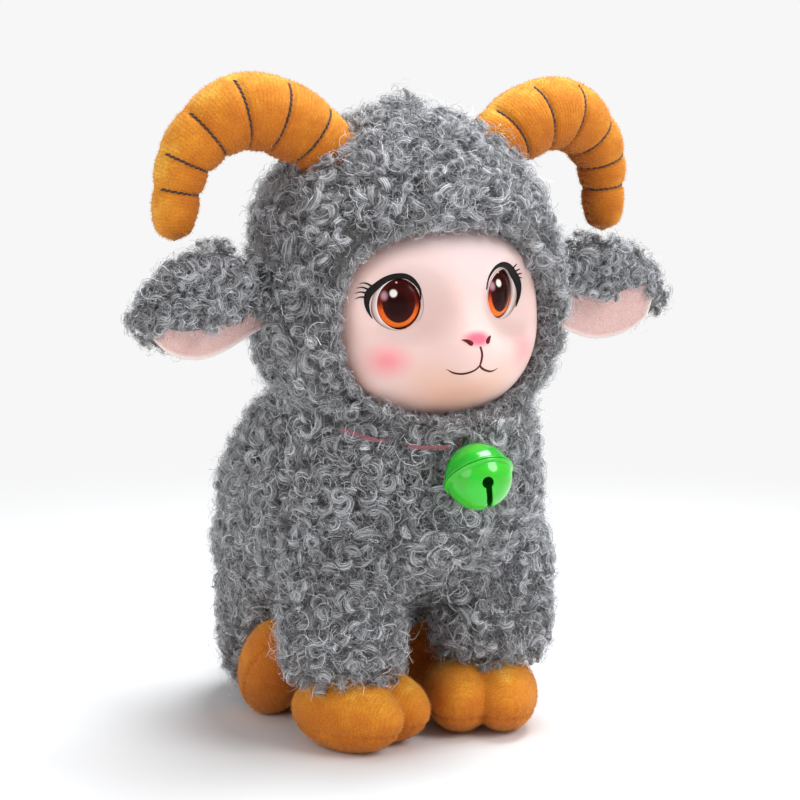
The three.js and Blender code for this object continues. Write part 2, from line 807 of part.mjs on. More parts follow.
for (const { side, sign } of SIDES) {
  const ear = new THREE.Group();
  ear.position.set(sign * EAR_ROOT_OUT, -EAR_ROOT_FORWARD, EAR_ROOT_HEIGHT);
  ear.rotation.set(
    radians(EAR_LEAN),
    sign * radians(EAR_DROOP),
    -sign * radians(EAR_TURN),
    "ZYX",
  );
  lamb.add(ear);

  // The head as the ear meets it at rest and at both ends of its swing about the upright root
  const headRooms = [0, EAR_SWING, -EAR_SWING].map((swing) => {
    const pivoted = headRoom.clone().translate(-ear.position.x, -ear.position.y, -ear.position.z);
    pivoted.rotateZ(radians(swing)).translate(ear.position.x, ear.position.y, ear.position.z);
    return inFrameOf(pivoted, ear);
  });
  const form = earForm(sign);
  const bed = liningRoom(LINING_BED, 0);
  mesh(`ear_outer_${side}`, cut(form, bed, ...headRooms), PILE, ear);

  const sheet = overlap(grown(form, -LINING_BED), liningRoom(LINING_BED, GAP));
  const front = liningRoom(LINING_BED + LINING_THICKNESS, GAP);
  mesh(`ear_lining_${side}`, cut(sheet, front, ...headRooms), LINING, ear);
}

export default lamb;
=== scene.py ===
import math

import bmesh
import bpy
import numpy as np
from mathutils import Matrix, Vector
from mathutils.bvhtree import BVHTree


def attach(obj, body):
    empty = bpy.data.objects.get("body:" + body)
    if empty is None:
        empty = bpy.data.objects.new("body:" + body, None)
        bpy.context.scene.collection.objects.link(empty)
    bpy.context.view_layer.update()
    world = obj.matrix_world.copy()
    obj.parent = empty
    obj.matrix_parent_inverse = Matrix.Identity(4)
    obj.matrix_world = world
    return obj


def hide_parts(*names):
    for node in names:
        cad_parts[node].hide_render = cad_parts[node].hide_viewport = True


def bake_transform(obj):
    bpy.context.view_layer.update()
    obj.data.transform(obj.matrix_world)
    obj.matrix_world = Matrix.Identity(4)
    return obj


# A seated plush lamb: curls of pile over stuffed forms, a vinyl face, velour horns and hooves, and a bell.
# Lengths are millimetres until a mesh is made. The lamb faces -Y, its own left is +X, and forward means -Y.
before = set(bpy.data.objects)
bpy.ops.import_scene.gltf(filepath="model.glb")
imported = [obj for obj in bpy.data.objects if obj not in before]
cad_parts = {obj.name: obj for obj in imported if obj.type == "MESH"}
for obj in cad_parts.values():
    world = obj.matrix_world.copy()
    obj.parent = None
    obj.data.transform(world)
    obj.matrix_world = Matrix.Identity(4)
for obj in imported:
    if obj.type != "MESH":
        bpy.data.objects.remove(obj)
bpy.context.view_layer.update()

MM = 0.001
FULL_TURN = 2 * math.pi
SIDES = (("left", 1), ("right", -1))


# Stuffed forms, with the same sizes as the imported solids

PILE_DEPTH = 4.2
FLOOR_CLEARANCE = 0.15

TORSO_HEIGHT = 98
TORSO_LEAN = 51
TORSO_WIDTH = 78
TORSO_DEPTH = 88
TORSO_SQUARENESS = 2.4
# Each section's height, lean, width and depth
TORSO_SHARES = [
    [0, -0.02, 0, 0],
    [0.01, -0.02, 0.46, 0.27],
    [0.06, 0, 0.61, 0.41],
    [0.14, 0.1, 0.71, 0.53],
    [0.265, 0.25, 0.82, 0.64],
    [0.41, 0.51, 0.95, 0.89],
    [0.55, 0.67, 1, 1],
    [0.65, 0.69, 0.99, 0.96],
    [0.735, 0.745, 0.94, 0.895],
    [0.815, 0.83, 0.88, 0.83],
    [0.9, 0.92, 0.74, 0.68],
    [0.96, 0.98, 0.5, 0.45],
    [1, 1, 0, 0],
]

HEAD_WIDTH = 78
HEAD_DEPTH = 76
HEAD_HEIGHT = 84
HEAD_BOTTOM = 73
HEAD_FORWARD = 50.5
HEAD_LEAN = 3.5
HEAD_SQUARENESS = 2.2
# Each section's height, lean, width and depth
HEAD_SHARES = [
    [0, 0, 0, 0],
    [0.03, 0, 0.42, 0.38],
    [0.1, 0, 0.72, 0.66],
    [0.21, 0, 0.92, 0.87],
    [0.35, 0, 1, 0.97],
    [0.5, 0.2, 1, 1],
    [0.65, 0.7, 0.95, 0.97],
    [0.79, 1, 0.83, 0.86],
    [0.9, 1, 0.61, 0.64],
    [0.97, 0.9, 0.35, 0.36],
    [1, 0.9, 0, 0],
]

LEG_THICKNESS = 32
LEG_SPACING = 42.5
LEG_FORWARD = 56
LEG_BOTTOM = 13
LEG_TOP = 60
# Each section's height and thickness
LEG_SHARES = [
    [0, 0],
    [0.02, 0.5],
    [0.09, 0.85],
    [0.22, 1],
    [0.5, 1],
    [0.78, 0.9],
    [0.95, 0.55],
    [1, 0],
]

HAUNCH_WIDTH = 30
HAUNCH_DEPTH = 40
HAUNCH_HEIGHT = 44
HAUNCH_SPACING = 39
HAUNCH_FORWARD = 13

TAIL_WIDTH = 15
TAIL_DEPTH = 15
TAIL_LENGTH = 24
TAIL_HEIGHT = 27
TAIL_FORWARD = -19

FLAT_DEPTH = 0.5


def smooth_rows(rows, count):
    """Rows of numbers joined by a smooth curve through each of them, sampled evenly along it."""
    rows = np.asarray(rows, float)
    steps = np.linalg.norm(np.diff(rows, axis=0), axis=1)
    knots = np.concatenate([[0], np.cumsum(np.sqrt(steps))])
    slopes = np.gradient(rows, knots, axis=0)
    at = np.linspace(0, knots[-1], count)
    i = np.clip(np.searchsorted(knots, at, side="right") - 1, 0, len(rows) - 2)
    width = (knots[i + 1] - knots[i])[:, None]
    t = ((at - knots[i])[:, None]) / width
    near = (1 + 2 * t) * (1 - t) ** 2 * rows[i] + t * (1 - t) ** 2 * width * slopes[i]
    far = t**2 * (3 - 2 * t) * rows[i + 1] + t**2 * (t - 1) * width * slopes[i + 1]
    return near + far


def unit(vectors):
    return vectors / np.maximum(np.linalg.norm(vectors, axis=-1, keepdims=True), 1e-9)


def squared_circle(turn, squareness):
    """The cosines and sines of directions, bent towards a square for a squareness above 2."""
    return [np.sign(v) * np.abs(v) ** (2 / squareness) for v in (np.cos(turn), np.sin(turn))]


def turns(count):
    """Directions spread evenly round a full turn."""
    return np.arange(count) / count * FULL_TURN


# How far in a thin form may be drawn, as a share of the way to its middle
INSET_SHARE = 0.6
# More places than are needed are scattered, and then thinned out
SCATTER_SURPLUS = 5
SCATTER_CLOSER = 0.82


class Form:
    """A closed form: rings round a line of centres, each with two half axes, with a pole at each end."""

    def __init__(self, centres, across, along, squareness=2.0, rings=40, sides=48):
        rows = smooth_rows(np.concatenate([centres, across, along], axis=1), rings)
        rows[[0, -1], 3:] *= 0
        self.rings = rings
        self.sides = sides
        c, s = squared_circle(turns(sides), squareness)
        middle, across, along = rows[:, None, 0:3], rows[:, None, 3:6], rows[:, None, 6:9]
        self.points = middle + c[None, :, None] * across + s[None, :, None] * along
        self.centres = middle
        self.find_normals(rows[:, 0:3])

    def find_normals(self, centres):
        around = np.roll(self.points, -1, axis=1) - np.roll(self.points, 1, axis=1)
        normals = unit(np.cross(around, np.gradient(self.points, axis=0)))
        ahead = unit(centres[-1] - centres[0])
        normals[0] = -ahead
        normals[-1] = ahead
        outward = np.sum(normals * (self.points - centres[:, None]), axis=-1)
        if outward[1:-1].mean() < 0:
            normals[1:-1] *= -1
        self.normals = normals

    def inset(self, distance):
        """The form's surface moved inwards by a distance, or by less where it is thin, as rings of points."""
        reach = np.linalg.norm(self.points - self.centres, axis=-1, keepdims=True)
        return self.points - self.normals * np.minimum(distance, reach * INSET_SHARE)

    def mesh_parts(self, points):
        """Vertices and faces of a closed mesh through rings of points, with one vertex at each pole."""
        count = self.sides
        rows = self.rings - 2
        vertices = np.concatenate([points[0, :1], points[1:-1].reshape(-1, 3), points[-1, :1]])
        faces = (grid_faces(rows, count) + 1).tolist()
        last = len(vertices) - 1
        top = 1 + (rows - 1) * count
        for j in range(count):
            faces.append([0, 1 + (j + 1) % count, 1 + j])
            faces.append([last, top + j, top + (j + 1) % count])
        return vertices, faces

    def tree(self):
        vertices, faces = self.mesh_parts(self.points)
        return BVHTree.FromPolygons([Vector(v) for v in vertices], faces)

    def areas(self):
        """The area of each patch between four neighbouring points."""
        p = self.points
        return np.linalg.norm(np.cross(np.roll(p, -1, axis=1)[:-1] - p[:-1], p[1:] - p[:-1]), axis=-1)

    def scatter(self, count, rng, depth):
        """Points spread evenly by area under the form's surface, and the way out at each."""
        area = self.areas()
        pick = rng.choice(area.size, size=count, p=area.ravel() / area.sum())
        ring, side = np.unravel_index(pick, area.shape)
        after = (side + 1) % self.sides
        a = rng.random(count)[:, None]
        b = rng.random(count)[:, None]

        def between(grid):
            low = grid[ring, side] * (1 - a) + grid[ring, after] * a
            high = grid[ring + 1, side] * (1 - a) + grid[ring + 1, after] * a
            return low * (1 - b) + high * b

        return between(self.inset(depth)), unit(between(self.normals))

    def roots(self, spacing, depth, rng):
        """Curl roots spread over the form, drawn in by the pile's depth."""
        count = int(self.areas().sum() / spacing**2 * SCATTER_SURPLUS)
        points, outward = self.scatter(count, rng, depth)
        kept = thin_out(points, spacing * SCATTER_CLOSER, rng)
        return points[kept], outward[kept]


def section_form(x, y, z, width, depth, squareness=2.0, rings=40, sides=48):
    """A form of level sections, each with its middle, its width along X and its depth along Y."""
    x, y, z, width, depth = np.broadcast_arrays(x, y, z, width, depth)
    none = np.zeros(len(z))
    across = np.stack([width / 2, none, none], axis=1)
    along = np.stack([none, depth / 2, none], axis=1)
    return Form(np.stack([x, y, z], axis=1), across, along, squareness, rings, sides)


# The rings and sides of the head and the torso
BODY_GRID = (72, 96)


def torso_form():
    height, lean, width, depth = np.array(TORSO_SHARES).T
    rise = height * (TORSO_HEIGHT + FLAT_DEPTH) - FLAT_DEPTH
    return section_form(
        0, -lean * TORSO_LEAN, rise, width * TORSO_WIDTH, depth * TORSO_DEPTH, TORSO_SQUARENESS, *BODY_GRID
    )


def head_form():
    height, lean, width, depth = np.array(HEAD_SHARES).T
    back = lean * HEAD_LEAN - HEAD_FORWARD
    rise = HEAD_BOTTOM + height * HEAD_HEIGHT
    return section_form(0, back, rise, width * HEAD_WIDTH, depth * HEAD_DEPTH, HEAD_SQUARENESS, *BODY_GRID)


def leg_form(sign):
    height, thickness = np.array(LEG_SHARES).T
    rise = LEG_BOTTOM + height * (LEG_TOP - LEG_BOTTOM)
    thick = thickness * LEG_THICKNESS
    return section_form(sign * LEG_SPACING / 2, -LEG_FORWARD, rise, thick, thick)


def ellipsoid_form(centre, width, depth, height, sections=13):
    """An ellipsoid as a form that runs from its lowest point to its highest."""
    x, y, z = centre
    rise = -np.cos(np.linspace(0, math.pi, sections))
    radius = np.sqrt(np.maximum(0, 1 - rise**2))
    return section_form(x, y, z + rise * height / 2, radius * width, radius * depth)


def haunch_form(sign):
    centre = (sign * HAUNCH_SPACING / 2, -HAUNCH_FORWARD, HAUNCH_HEIGHT / 2 - FLAT_DEPTH)
    return ellipsoid_form(centre, HAUNCH_WIDTH, HAUNCH_DEPTH, HAUNCH_HEIGHT)


torso = torso_form()
head = head_form()
legs = {sign: leg_form(sign) for _, sign in SIDES}
haunches = {sign: haunch_form(sign) for _, sign in SIDES}
tail = ellipsoid_form((0, -TAIL_FORWARD, TAIL_HEIGHT), TAIL_WIDTH, TAIL_DEPTH, TAIL_LENGTH)


# Making meshes and objects

def grid_faces(rows, columns, closed_rows=False):
    """Quads over a grid of points that closes on itself along each row."""
    i, j = np.meshgrid(np.arange(rows if closed_rows else rows - 1), np.arange(columns), indexing="ij")
    here, above = i * columns, (i + 1) % rows * columns
    after = (j + 1) % columns
    return np.stack([here + j, here + after, above + after, above + j], axis=-1).reshape(-1, 4)


def capped_faces(rows, columns):
    """The faces of a tube through rings of points, with a flat end at each end."""
    ends = [list(range(columns))[::-1], list(range((rows - 1) * columns, rows * columns))]
    return grid_faces(rows, columns).tolist() + ends


def joined(parts):
    """The vertices and faces of several meshes as those of one."""
    vertices = []
    faces = []
    for points, sides in parts:
        faces += [[i + len(vertices) for i in side] for side in sides]
        vertices += list(points)
    return vertices, faces


def prism(ends):
    """A closed prism between two outlines, or through more of them."""
    return np.concatenate(ends), capped_faces(len(ends), len(ends[0]))


def swept(line, out, up, radius, turn):
    """Rings of points round a line, from the two directions across it and the radius."""
    ring = out[:, None] * np.cos(turn)[None, :, None] + up[:, None] * np.sin(turn)[None, :, None]
    return line[:, None] + ring * radius


def add_object(name, data):
    made = bpy.data.objects.new(name, data)
    bpy.context.scene.collection.objects.link(made)
    return made


def mesh_object(name, vertices, faces, material):
    """An object from points in millimetres."""
    mesh = bpy.data.meshes.new(name)
    points = np.asarray(vertices, float).reshape(-1, 3) * MM
    mesh.from_pydata(points.tolist(), [], [list(map(int, face)) for face in faces])
    mesh.update()
    mesh.shade_smooth()
    mesh.materials.append(material)
    return add_object(name, mesh)


def face_out(made):
    """Turns every face of a closed mesh outwards."""
    work = bmesh.new()
    work.from_mesh(made.data)
    bmesh.ops.recalc_face_normals(work, faces=work.faces)
    work.to_mesh(made.data)
    work.free()
    made.data.shade_smooth()


def closed_object(name, vertices, faces, material):
    made = mesh_object(name, vertices, faces, material)
    face_out(made)
    return made


def tube_object(name, sections, material, closed=False):
    """A tube through rings of points, closed on itself or with a flat end at each end."""
    rows, columns = sections.shape[:2]
    faces = grid_faces(rows, columns, True).tolist() if closed else capped_faces(rows, columns)
    return closed_object(name, sections, faces, material)


def quad_object(name, vertices, quads, material):
    """An object from large arrays of points in millimetres and of four-sided faces."""
    mesh = bpy.data.meshes.new(name)
    mesh.vertices.add(len(vertices))
    mesh.vertices.foreach_set("co", (vertices * MM).astype(np.float32).ravel())
    mesh.loops.add(quads.size)
    mesh.loops.foreach_set("vertex_index", quads.astype(np.int32).ravel())
    mesh.polygons.add(len(quads))
    mesh.polygons.foreach_set("loop_start", np.arange(0, quads.size, quads.shape[1], dtype=np.int32))
    mesh.update(calc_edges=True)
    mesh.shade_smooth()
    mesh.materials.append(material)
    return add_object(name, mesh)


def set_attribute(made, name, values, kind="FLOAT", key="value"):
    """A number or a vector for each vertex, for the material to read."""
    layer = made.data.attributes.new(name, kind, "POINT")
    layer.data.foreach_set(key, np.asarray(values, np.float32).ravel())


def vertex_values(made, key):
    values = np.empty(len(made.data.vertices) * 3, np.float32)
    made.data.vertices.foreach_get(key, values)
    return values.reshape(-1, 3).astype(float)


def mesh_points(made):
    """An object's vertices in millimetres."""
    return vertex_values(made, "co") / MM


def finished_mesh(made):
    """The object's mesh with its modifiers applied, and the modifiers removed."""
    graph = bpy.context.evaluated_depsgraph_get()
    mesh = bpy.data.meshes.new_from_object(made.evaluated_get(graph))
    made.modifiers.clear()
    old = made.data
    made.data = mesh
    bpy.data.meshes.remove(old)
    mesh.shade_smooth()


def cut_away(made, tools):
    """Cuts closed tools, given as vertices and faces in millimetres, out of an object."""
    for vertices, faces in tools:
        tool = closed_object("cutter", vertices, faces, made.data.materials[0])
        cut = made.modifiers.new("cut", "BOOLEAN")
        cut.operation = "DIFFERENCE"
        cut.solver = "EXACT"
        cut.object = tool
        finished_mesh(made)
        bpy.data.objects.remove(tool)


def turned(degrees, axis):
    """The matrix of a turn about an axis."""
    c = math.cos(math.radians(degrees))
    s = math.sin(math.radians(degrees))
    if axis == "X":
        return np.array([[1, 0, 0], [0, c, -s], [0, s, c]])
    if axis == "Y":
        return np.array([[c, 0, s], [0, 1, 0], [-s, 0, c]])
    return np.array([[c, -s, 0], [s, c, 0], [0, 0, 1]])


def object_tree(made):
    faces = [list(face.vertices) for face in made.data.polygons]
    return BVHTree.FromPolygons([Vector(p) for p in mesh_points(made)], faces)


def dress(made, body, slot, *nodes, fill=None):
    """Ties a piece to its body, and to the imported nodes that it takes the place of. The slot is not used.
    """
    if body:
        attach(made, body)
    if nodes:
        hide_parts(*nodes)
    return made


# Materials

def tint(red, green, blue):
    """A colour given as it shows on a screen, brought to the values that the shaders take."""
    shown = np.array([red, green, blue]) / 255
    return tuple(np.where(shown <= 0.04045, shown / 12.92, ((shown + 0.055) / 1.055) ** 2.4).tolist())


class Nodes:
    """A tree of nodes, with short calls for those that this scene uses."""

    def __init__(self, tree):
        self.tree = tree

    def node(self, kind, **settings):
        made = self.tree.nodes.new(kind)
        for key, value in settings.items():
            setattr(made, key, value)
        return made

    def link(self, source, target):
        self.tree.links.new(source, target)

    def put(self, socket, value):
        """Sets a socket to a number, a vector or a colour, or links it."""
        if isinstance(value, (int, float)):
            socket.default_value = value
        elif isinstance(value, tuple):
            socket.default_value = (*value, 1) if len(socket.default_value) == 4 else value
        else:
            self.link(value, socket)

    def fill(self, made, sockets, values):
        for socket, value in zip(sockets, values):
            self.put(made.inputs[socket], value)
        return made.outputs

    def place(self):
        return self.node("ShaderNodeTexCoord").outputs["Object"]

    def attribute(self, name, output="Fac"):
        return self.node("ShaderNodeAttribute", attribute_name=name).outputs[output]

    def noise(self, grain, detail=3.0, vector=None):
        """Noise whose grain is a size in millimetres."""
        values = (1 / (grain * MM), detail, NOISE_ROUGHNESS, vector or self.place())
        made = self.node("ShaderNodeTexNoise")
        return self.fill(made, ("Scale", "Detail", "Roughness", "Vector"), values)["Fac"]

    def math(self, operation, *values):
        made = self.node("ShaderNodeMath", operation=operation)
        return self.fill(made, range(len(values)), values)["Value"]

    def scaled(self, value, share, offset=0.0):
        return self.math("MULTIPLY_ADD", value, share, offset)

    def vector(self, operation, *values, output="Vector"):
        made = self.node("ShaderNodeVectorMath", operation=operation)
        return self.fill(made, range(len(values)), values)[output]

    def spot(self, centre, reach, inner=0.0):
        """1 within an ellipsoid of the given half sizes, falling smoothly to 0 at its surface."""
        offset = self.vector("SUBTRACT", self.place(), tuple(c * MM for c in centre))
        scaled = self.vector("DIVIDE", offset, tuple(r * MM for r in reach))
        return self.between(self.vector("LENGTH", scaled, output="Value"), inner, 1.0, 1.0, 0.0)

    def ramp(self, value, stops):
        made = self.node("ShaderNodeValToRGB")
        elements = made.color_ramp.elements
        while len(elements) < len(stops):
            elements.new(0.5)
        for element, (position, color) in zip(elements, stops):
            element.position = position
            element.color = (*color, 1)
        self.link(value, made.inputs["Fac"])
        return made.outputs["Color"]

    def between(self, value, low, high, first=0.0, last=1.0):
        """A value brought smoothly from the range low to high into the range first to last."""
        made = self.node("ShaderNodeMapRange", interpolation_type="SMOOTHSTEP")
        sockets = ("Value", "From Min", "From Max", "To Min", "To Max")
        return self.fill(made, sockets, (value, low, high, first, last))["Result"]

    def mix(self, share, first, second):
        """Two colours mixed: each is a colour or a socket."""
        made = self.node("ShaderNodeMix", data_type="RGBA")
        return self.fill(made, ("Factor", 6, 7), (share, first, second))[2]


class Shader(Nodes):
    """A material's nodes."""

    def __init__(self, name, roughness, color=(0.5, 0.5, 0.5), **settings):
        self.material = bpy.data.materials.new(name)
        self.material.use_nodes = True
        super().__init__(self.material.node_tree)
        self.surface = self.tree.nodes["Principled BSDF"]
        self.surface.inputs["Base Color"].default_value = (*color, 1)
        self.surface.inputs["Roughness"].default_value = roughness
        for socket, value in settings.items():
            self.surface.inputs[socket.replace("_", " ")].default_value = value

    def color(self, socket):
        self.link(socket, self.surface.inputs["Base Color"])

    def bump(self, height, depth):
        """Bumps whose depth is a size in millimetres."""
        made = self.node("ShaderNodeBump")
        outputs = self.fill(made, ("Distance", "Height"), (depth * MM, height))
        self.link(outputs["Normal"], self.surface.inputs["Normal"])


NOISE_ROUGHNESS = 0.6
# The part of a noise's range that colours run over
MOTTLE = (0.3, 0.7)
# The pile's colours along the attribute tone, which holds painted shade low in the pile and painted light
# towards the crowns, as well as tone that differs at random
PILE_TONES = [
    (0.0, (0.075, 0.073, 0.075)),
    (0.35, (0.28, 0.278, 0.285)),
    (0.65, (0.6, 0.61, 0.635)),
    (1.0, (0.92, 0.94, 0.97)),
]
# Painted shade: the cloth under the curls is drawn much darker than the pile, standing in for the shade in
# the gaps between the curls
PILE_BASE_TONES = [(0.3, (0.07, 0.068, 0.068)), (0.75, (0.26, 0.258, 0.26))]


def pile_material():
    shader = Shader("curly_pile", 0.42, Sheen_Weight=0.2, Sheen_Roughness=0.5, Specular_IOR_Level=0.7)
    shader.color(shader.ramp(shader.attribute("tone"), PILE_TONES))
    return shader.material


def lock_material():
    """The body of a lock, streaked along it as if of many fine fibres."""
    shader = Shader("pile_lock", 0.45, Sheen_Weight=0.2, Sheen_Roughness=0.5, Specular_IOR_Level=0.6)
    streaks = shader.noise(0.2, 2.0, shader.attribute("grain", "Vector"))
    tone = shader.scaled(shader.math("SUBTRACT", streaks, 0.5), 1.9, shader.attribute("tone"))
    shader.color(shader.ramp(tone, PILE_TONES))
    shader.bump(streaks, 0.22)
    return shader.material


def pile_base_material():
    shader = Shader("pile_base", 0.95, Sheen_Weight=0.2)
    grain = shader.noise(0.8, 4.0)
    shader.color(shader.ramp(grain, PILE_BASE_TONES))
    shader.bump(grain, 0.6)
    return shader.material


# The vinyl's patches of colour: each one's middle, half sizes, full inner share, strength and colour
BLUSH = tint(242, 138, 146)
CHEEK = tint(232, 186, 160)
SKIN_PATCHES = [
    # The first two patches are partly the vinyl's own colour and partly painted light: the brow is paler and
    # the chin a brighter peach, lightened against the shadow of the fur there
    ((2, -74, 125), (30, 16, 20), 0.2, 0.8, tint(248, 222, 220)),
    ((0, -80, 84), (26, 14, 16), 0.1, 0.9, tint(252, 186, 162)),
    ((-11.5, -84, 92.5), (9, 12, 7.5), 0.1, 0.45, CHEEK),
    ((-19, -77, 96.6), (7.6, 12, 6.2), 0.0, 0.85, BLUSH),
    ((11.5, -84, 92.5), (9, 12, 7.5), 0.1, 0.45, CHEEK),
    ((18.2, -77, 97.8), (7.6, 12, 6.2), 0.0, 0.55, BLUSH),
    ((-0.1, -90, 102.1), (5.3, 12, 2.6), 0.4, 0.95, tint(240, 94, 122)),
]


def vinyl_material():
    shader = Shader(
        "face_vinyl", 0.45, Subsurface_Weight=0.3, Subsurface_Scale=0.003, Specular_IOR_Level=0.25
    )
    shader.surface.inputs["Subsurface Radius"].default_value = (1.0, 0.45, 0.35)
    mottle = shader.between(shader.noise(24.0, 1.0), 0.35, 0.7)
    skin = shader.mix(mottle, tint(237, 204, 197), tint(233, 198, 191))
    for centre, reach, inner, strength, color in SKIN_PATCHES:
        skin = shader.mix(shader.scaled(shader.spot(centre, reach, inner), strength), skin, color)
    shader.color(shader.mix(shader.attribute("edge_shade"), skin, tint(220, 162, 142)))
    shader.bump(shader.noise(0.5, 2.0), 0.012)
    return shader.material


WHITE_TONES = [
    (0.05, tint(246, 238, 232)), (0.4, tint(206, 190, 184)), (0.9, tint(172, 146, 138)),
    (1.0, tint(128, 84, 72)),
]


def eye_white_material():
    """White by the iris, and darker further out and on its outer and inner sides as painted shade, with brown
    at its outer edge.
    """
    shader = Shader("eye_white", 0.35)
    mottle_and_shade = shader.scaled(shader.noise(1.2, 2.0), 0.1, shader.attribute("outer"))
    shader.color(shader.ramp(mottle_and_shade, WHITE_TONES))
    return shader.material


IRIS_TONES = [
    (0.0, tint(250, 122, 40)), (0.3, tint(236, 92, 26)), (0.62, tint(120, 32, 16)), (1.0, tint(74, 16, 12)),
]
# The marks on the iris: a printed dark rim, a painted reflection, a grey ring round a painted highlight,
# that highlight, and a small painted highlight. Each has its middle and half sizes, the outness over which
# it fades with the strength before and after that, and its colour
IRIS_RIM_AND_HIGHLIGHTS = [
    ((0.0, 0.0, 1.0, 1.0), (0.9, 0.96, 0.0, 1.0), tint(60, 16, 12)),
    ((-0.6, 0.32, 0.22, 0.26), (0.2, 1.0, 0.75, 0.0), tint(210, 160, 175)),
    ((-0.2, 0.42, 0.2, 0.185), (0.86, 1.0, 1.0, 0.0), tint(150, 140, 138)),
    ((-0.2, 0.42, 0.17, 0.155), (0.8, 1.0, 1.0, 0.0), tint(238, 236, 224)),
    ((-0.06, 0.84, 0.06, 0.045), (0.5, 1.0, 0.9, 0.0), tint(255, 250, 246)),
]


def eye_material():
    """A printed iris with painted highlights and a painted reflection, under a clear coat. Across and up run
    from -1 to 1 over the iris.
    """
    shader = Shader("eye", 0.25, Coat_Weight=0.12, Coat_Roughness=0.03, Specular_IOR_Level=0.06)
    across = shader.attribute("across")
    up = shader.attribute("up")

    def outness(x, y, wide, high):
        dx = shader.math("DIVIDE", shader.math("SUBTRACT", across, x), wide)
        dy = shader.math("DIVIDE", shader.math("SUBTRACT", up, y), high)
        return shader.math("SQRT", shader.scaled(dx, dx, shader.scaled(dy, dy)))

    ring = shader.ramp(shader.between(up, -0.95, 0.75), IRIS_TONES)
    streaks = shader.scaled(shader.noise(0.5, 4.0), shader.between(up, -0.2, 0.3, 1.0, 0.0))
    ring = shader.mix(shader.between(streaks, 0.4, 0.7, 0.0, 0.3), ring, tint(255, 160, 80))
    out_of_pupil = shader.between(outness(0.0, -0.05, 0.62, 0.62), 0.5, 1.0)
    pupil = shader.mix(out_of_pupil, tint(34, 3, 3), tint(54, 8, 6))
    color = shader.mix(shader.between(outness(0.04, 0.04, 0.72, 0.79), 0.95, 1.05), pupil, ring)
    for shape, fade, paint in IRIS_RIM_AND_HIGHLIGHTS:
        color = shader.mix(shader.between(outness(*shape), *fade), color, paint)
    shader.color(color)
    return shader.material


# The velour's colours along the attribute light, from painted shade at 0 to painted light and highlights at 1
VELOUR_TONES = [
    (0.0, tint(178, 90, 2)), (0.45, tint(206, 119, 10)), (0.8, tint(232, 152, 30)),
    (1.0, tint(250, 190, 66)),
]
VELOUR_ROW = 0.8


def velour_material():
    """Velour with fine rows across the attribute run, and painted light: lighter where the attribute light is
    higher.
    """
    shader = Shader("velour", 0.88, Sheen_Weight=0.25, Sheen_Roughness=0.4)
    shader.surface.inputs["Sheen Tint"].default_value = (1.0, 0.75, 0.35, 1)
    grain = shader.noise(0.45, 4.0)
    run = shader.scaled(grain, 4.0, shader.scaled(shader.attribute("run"), FULL_TURN / VELOUR_ROW))
    rows = shader.scaled(shader.math("SINE", run), 0.5, 0.5)
    soft = shader.math("SUBTRACT", shader.noise(6.0, 2.0), 0.5)
    color = shader.ramp(shader.scaled(soft, 0.9, shader.attribute("light")), VELOUR_TONES)
    color = shader.mix(shader.between(grain, 0.35, 0.7, 0.0, 0.5), color, tint(172, 84, 4))
    color = shader.mix(shader.between(rows, 0.2, 0.9, 0.0, 0.16), color, tint(160, 80, 4))
    shader.color(color)
    shader.bump(shader.scaled(rows, 0.2, grain), 0.18)
    return shader.material


def nap_material(name, dark, light):
    shader = Shader(name, 0.8, Sheen_Weight=0.4)
    shader.color(shader.ramp(shader.attribute("tone"), [(0.0, dark), (1.0, light)]))
    return shader.material


def lining_material():
    shader = Shader("ear_lining", 0.85, Sheen_Weight=0.5)
    grain = shader.noise(0.35, 4.0)
    color = shader.mix(shader.between(grain, *MOTTLE), tint(214, 170, 163), tint(236, 200, 194))
    shader.color(shader.mix(shader.attribute("edge"), color, tint(246, 228, 222)))
    shader.bump(grain, 0.1)
    return shader.material


def mottled_material(name, roughness, first, second, grain, bump=None, **settings):
    """Two colours mottled by a noise. A grain is a size and a detail, and a bump has a depth as well."""
    shader = Shader(name, roughness, **settings)
    shader.color(shader.mix(shader.between(shader.noise(*grain), *MOTTLE), first, second))
    if bump:
        shader.bump(shader.noise(*bump[:2]), bump[2])
    return shader.material


PAINT = {"grain": (1.2, 2.0), "Specular_IOR_Level": 0.15}
TWINE = {"grain": (0.18, 3.0), "bump": (0.18, 3.0, 0.05), "Sheen_Weight": 0.4}
LACQUER = {
    "grain": (5.0, 2.0), "bump": (2.5, 2.0, 0.01), "Coat_Weight": 0.6, "Coat_Roughness": 0.03,
    "Specular_IOR_Level": 0.35,
}

PILE = pile_material()
LOCK = lock_material()
PILE_BASE = pile_base_material()
VINYL = vinyl_material()
EYE = eye_material()
EYE_WHITE = eye_white_material()
LASH = mottled_material("lash_black", 0.5, tint(26, 22, 23), tint(16, 14, 15), **PAINT)
MOUTH = mottled_material("mouth_brown", 0.45, tint(92, 28, 22), tint(76, 20, 16), **PAINT)
VELOUR = velour_material()
NAP = nap_material("velour_nap", tint(190, 104, 12), tint(250, 184, 66))
STITCH = mottled_material("horn_stitches", 0.75, tint(70, 38, 20), tint(48, 26, 14), **TWINE)
LINING = lining_material()
LINING_NAP = nap_material("lining_nap", tint(206, 158, 150), tint(246, 216, 208))
GREEN = mottled_material("bell_green", 0.22, tint(40, 200, 40), tint(58, 184, 32), **LACQUER)
DARK_GREEN = mottled_material("bell_cap_green", 0.22, tint(34, 190, 38), tint(26, 168, 32), **LACQUER)
LOOP_GREEN = mottled_material("bell_loop_green", 0.22, tint(14, 74, 22), tint(10, 56, 16), **LACQUER)
THREAD = mottled_material("neck_thread", 0.75, tint(164, 92, 104), tint(122, 66, 78), **TWINE)
STEEL = mottled_material(
    "steel_ball", 0.3, tint(196, 198, 202), tint(170, 172, 176), (0.8, 2.0), Metallic=1.0
)


# Curls: each is a hooked lock of fine fibres over its root

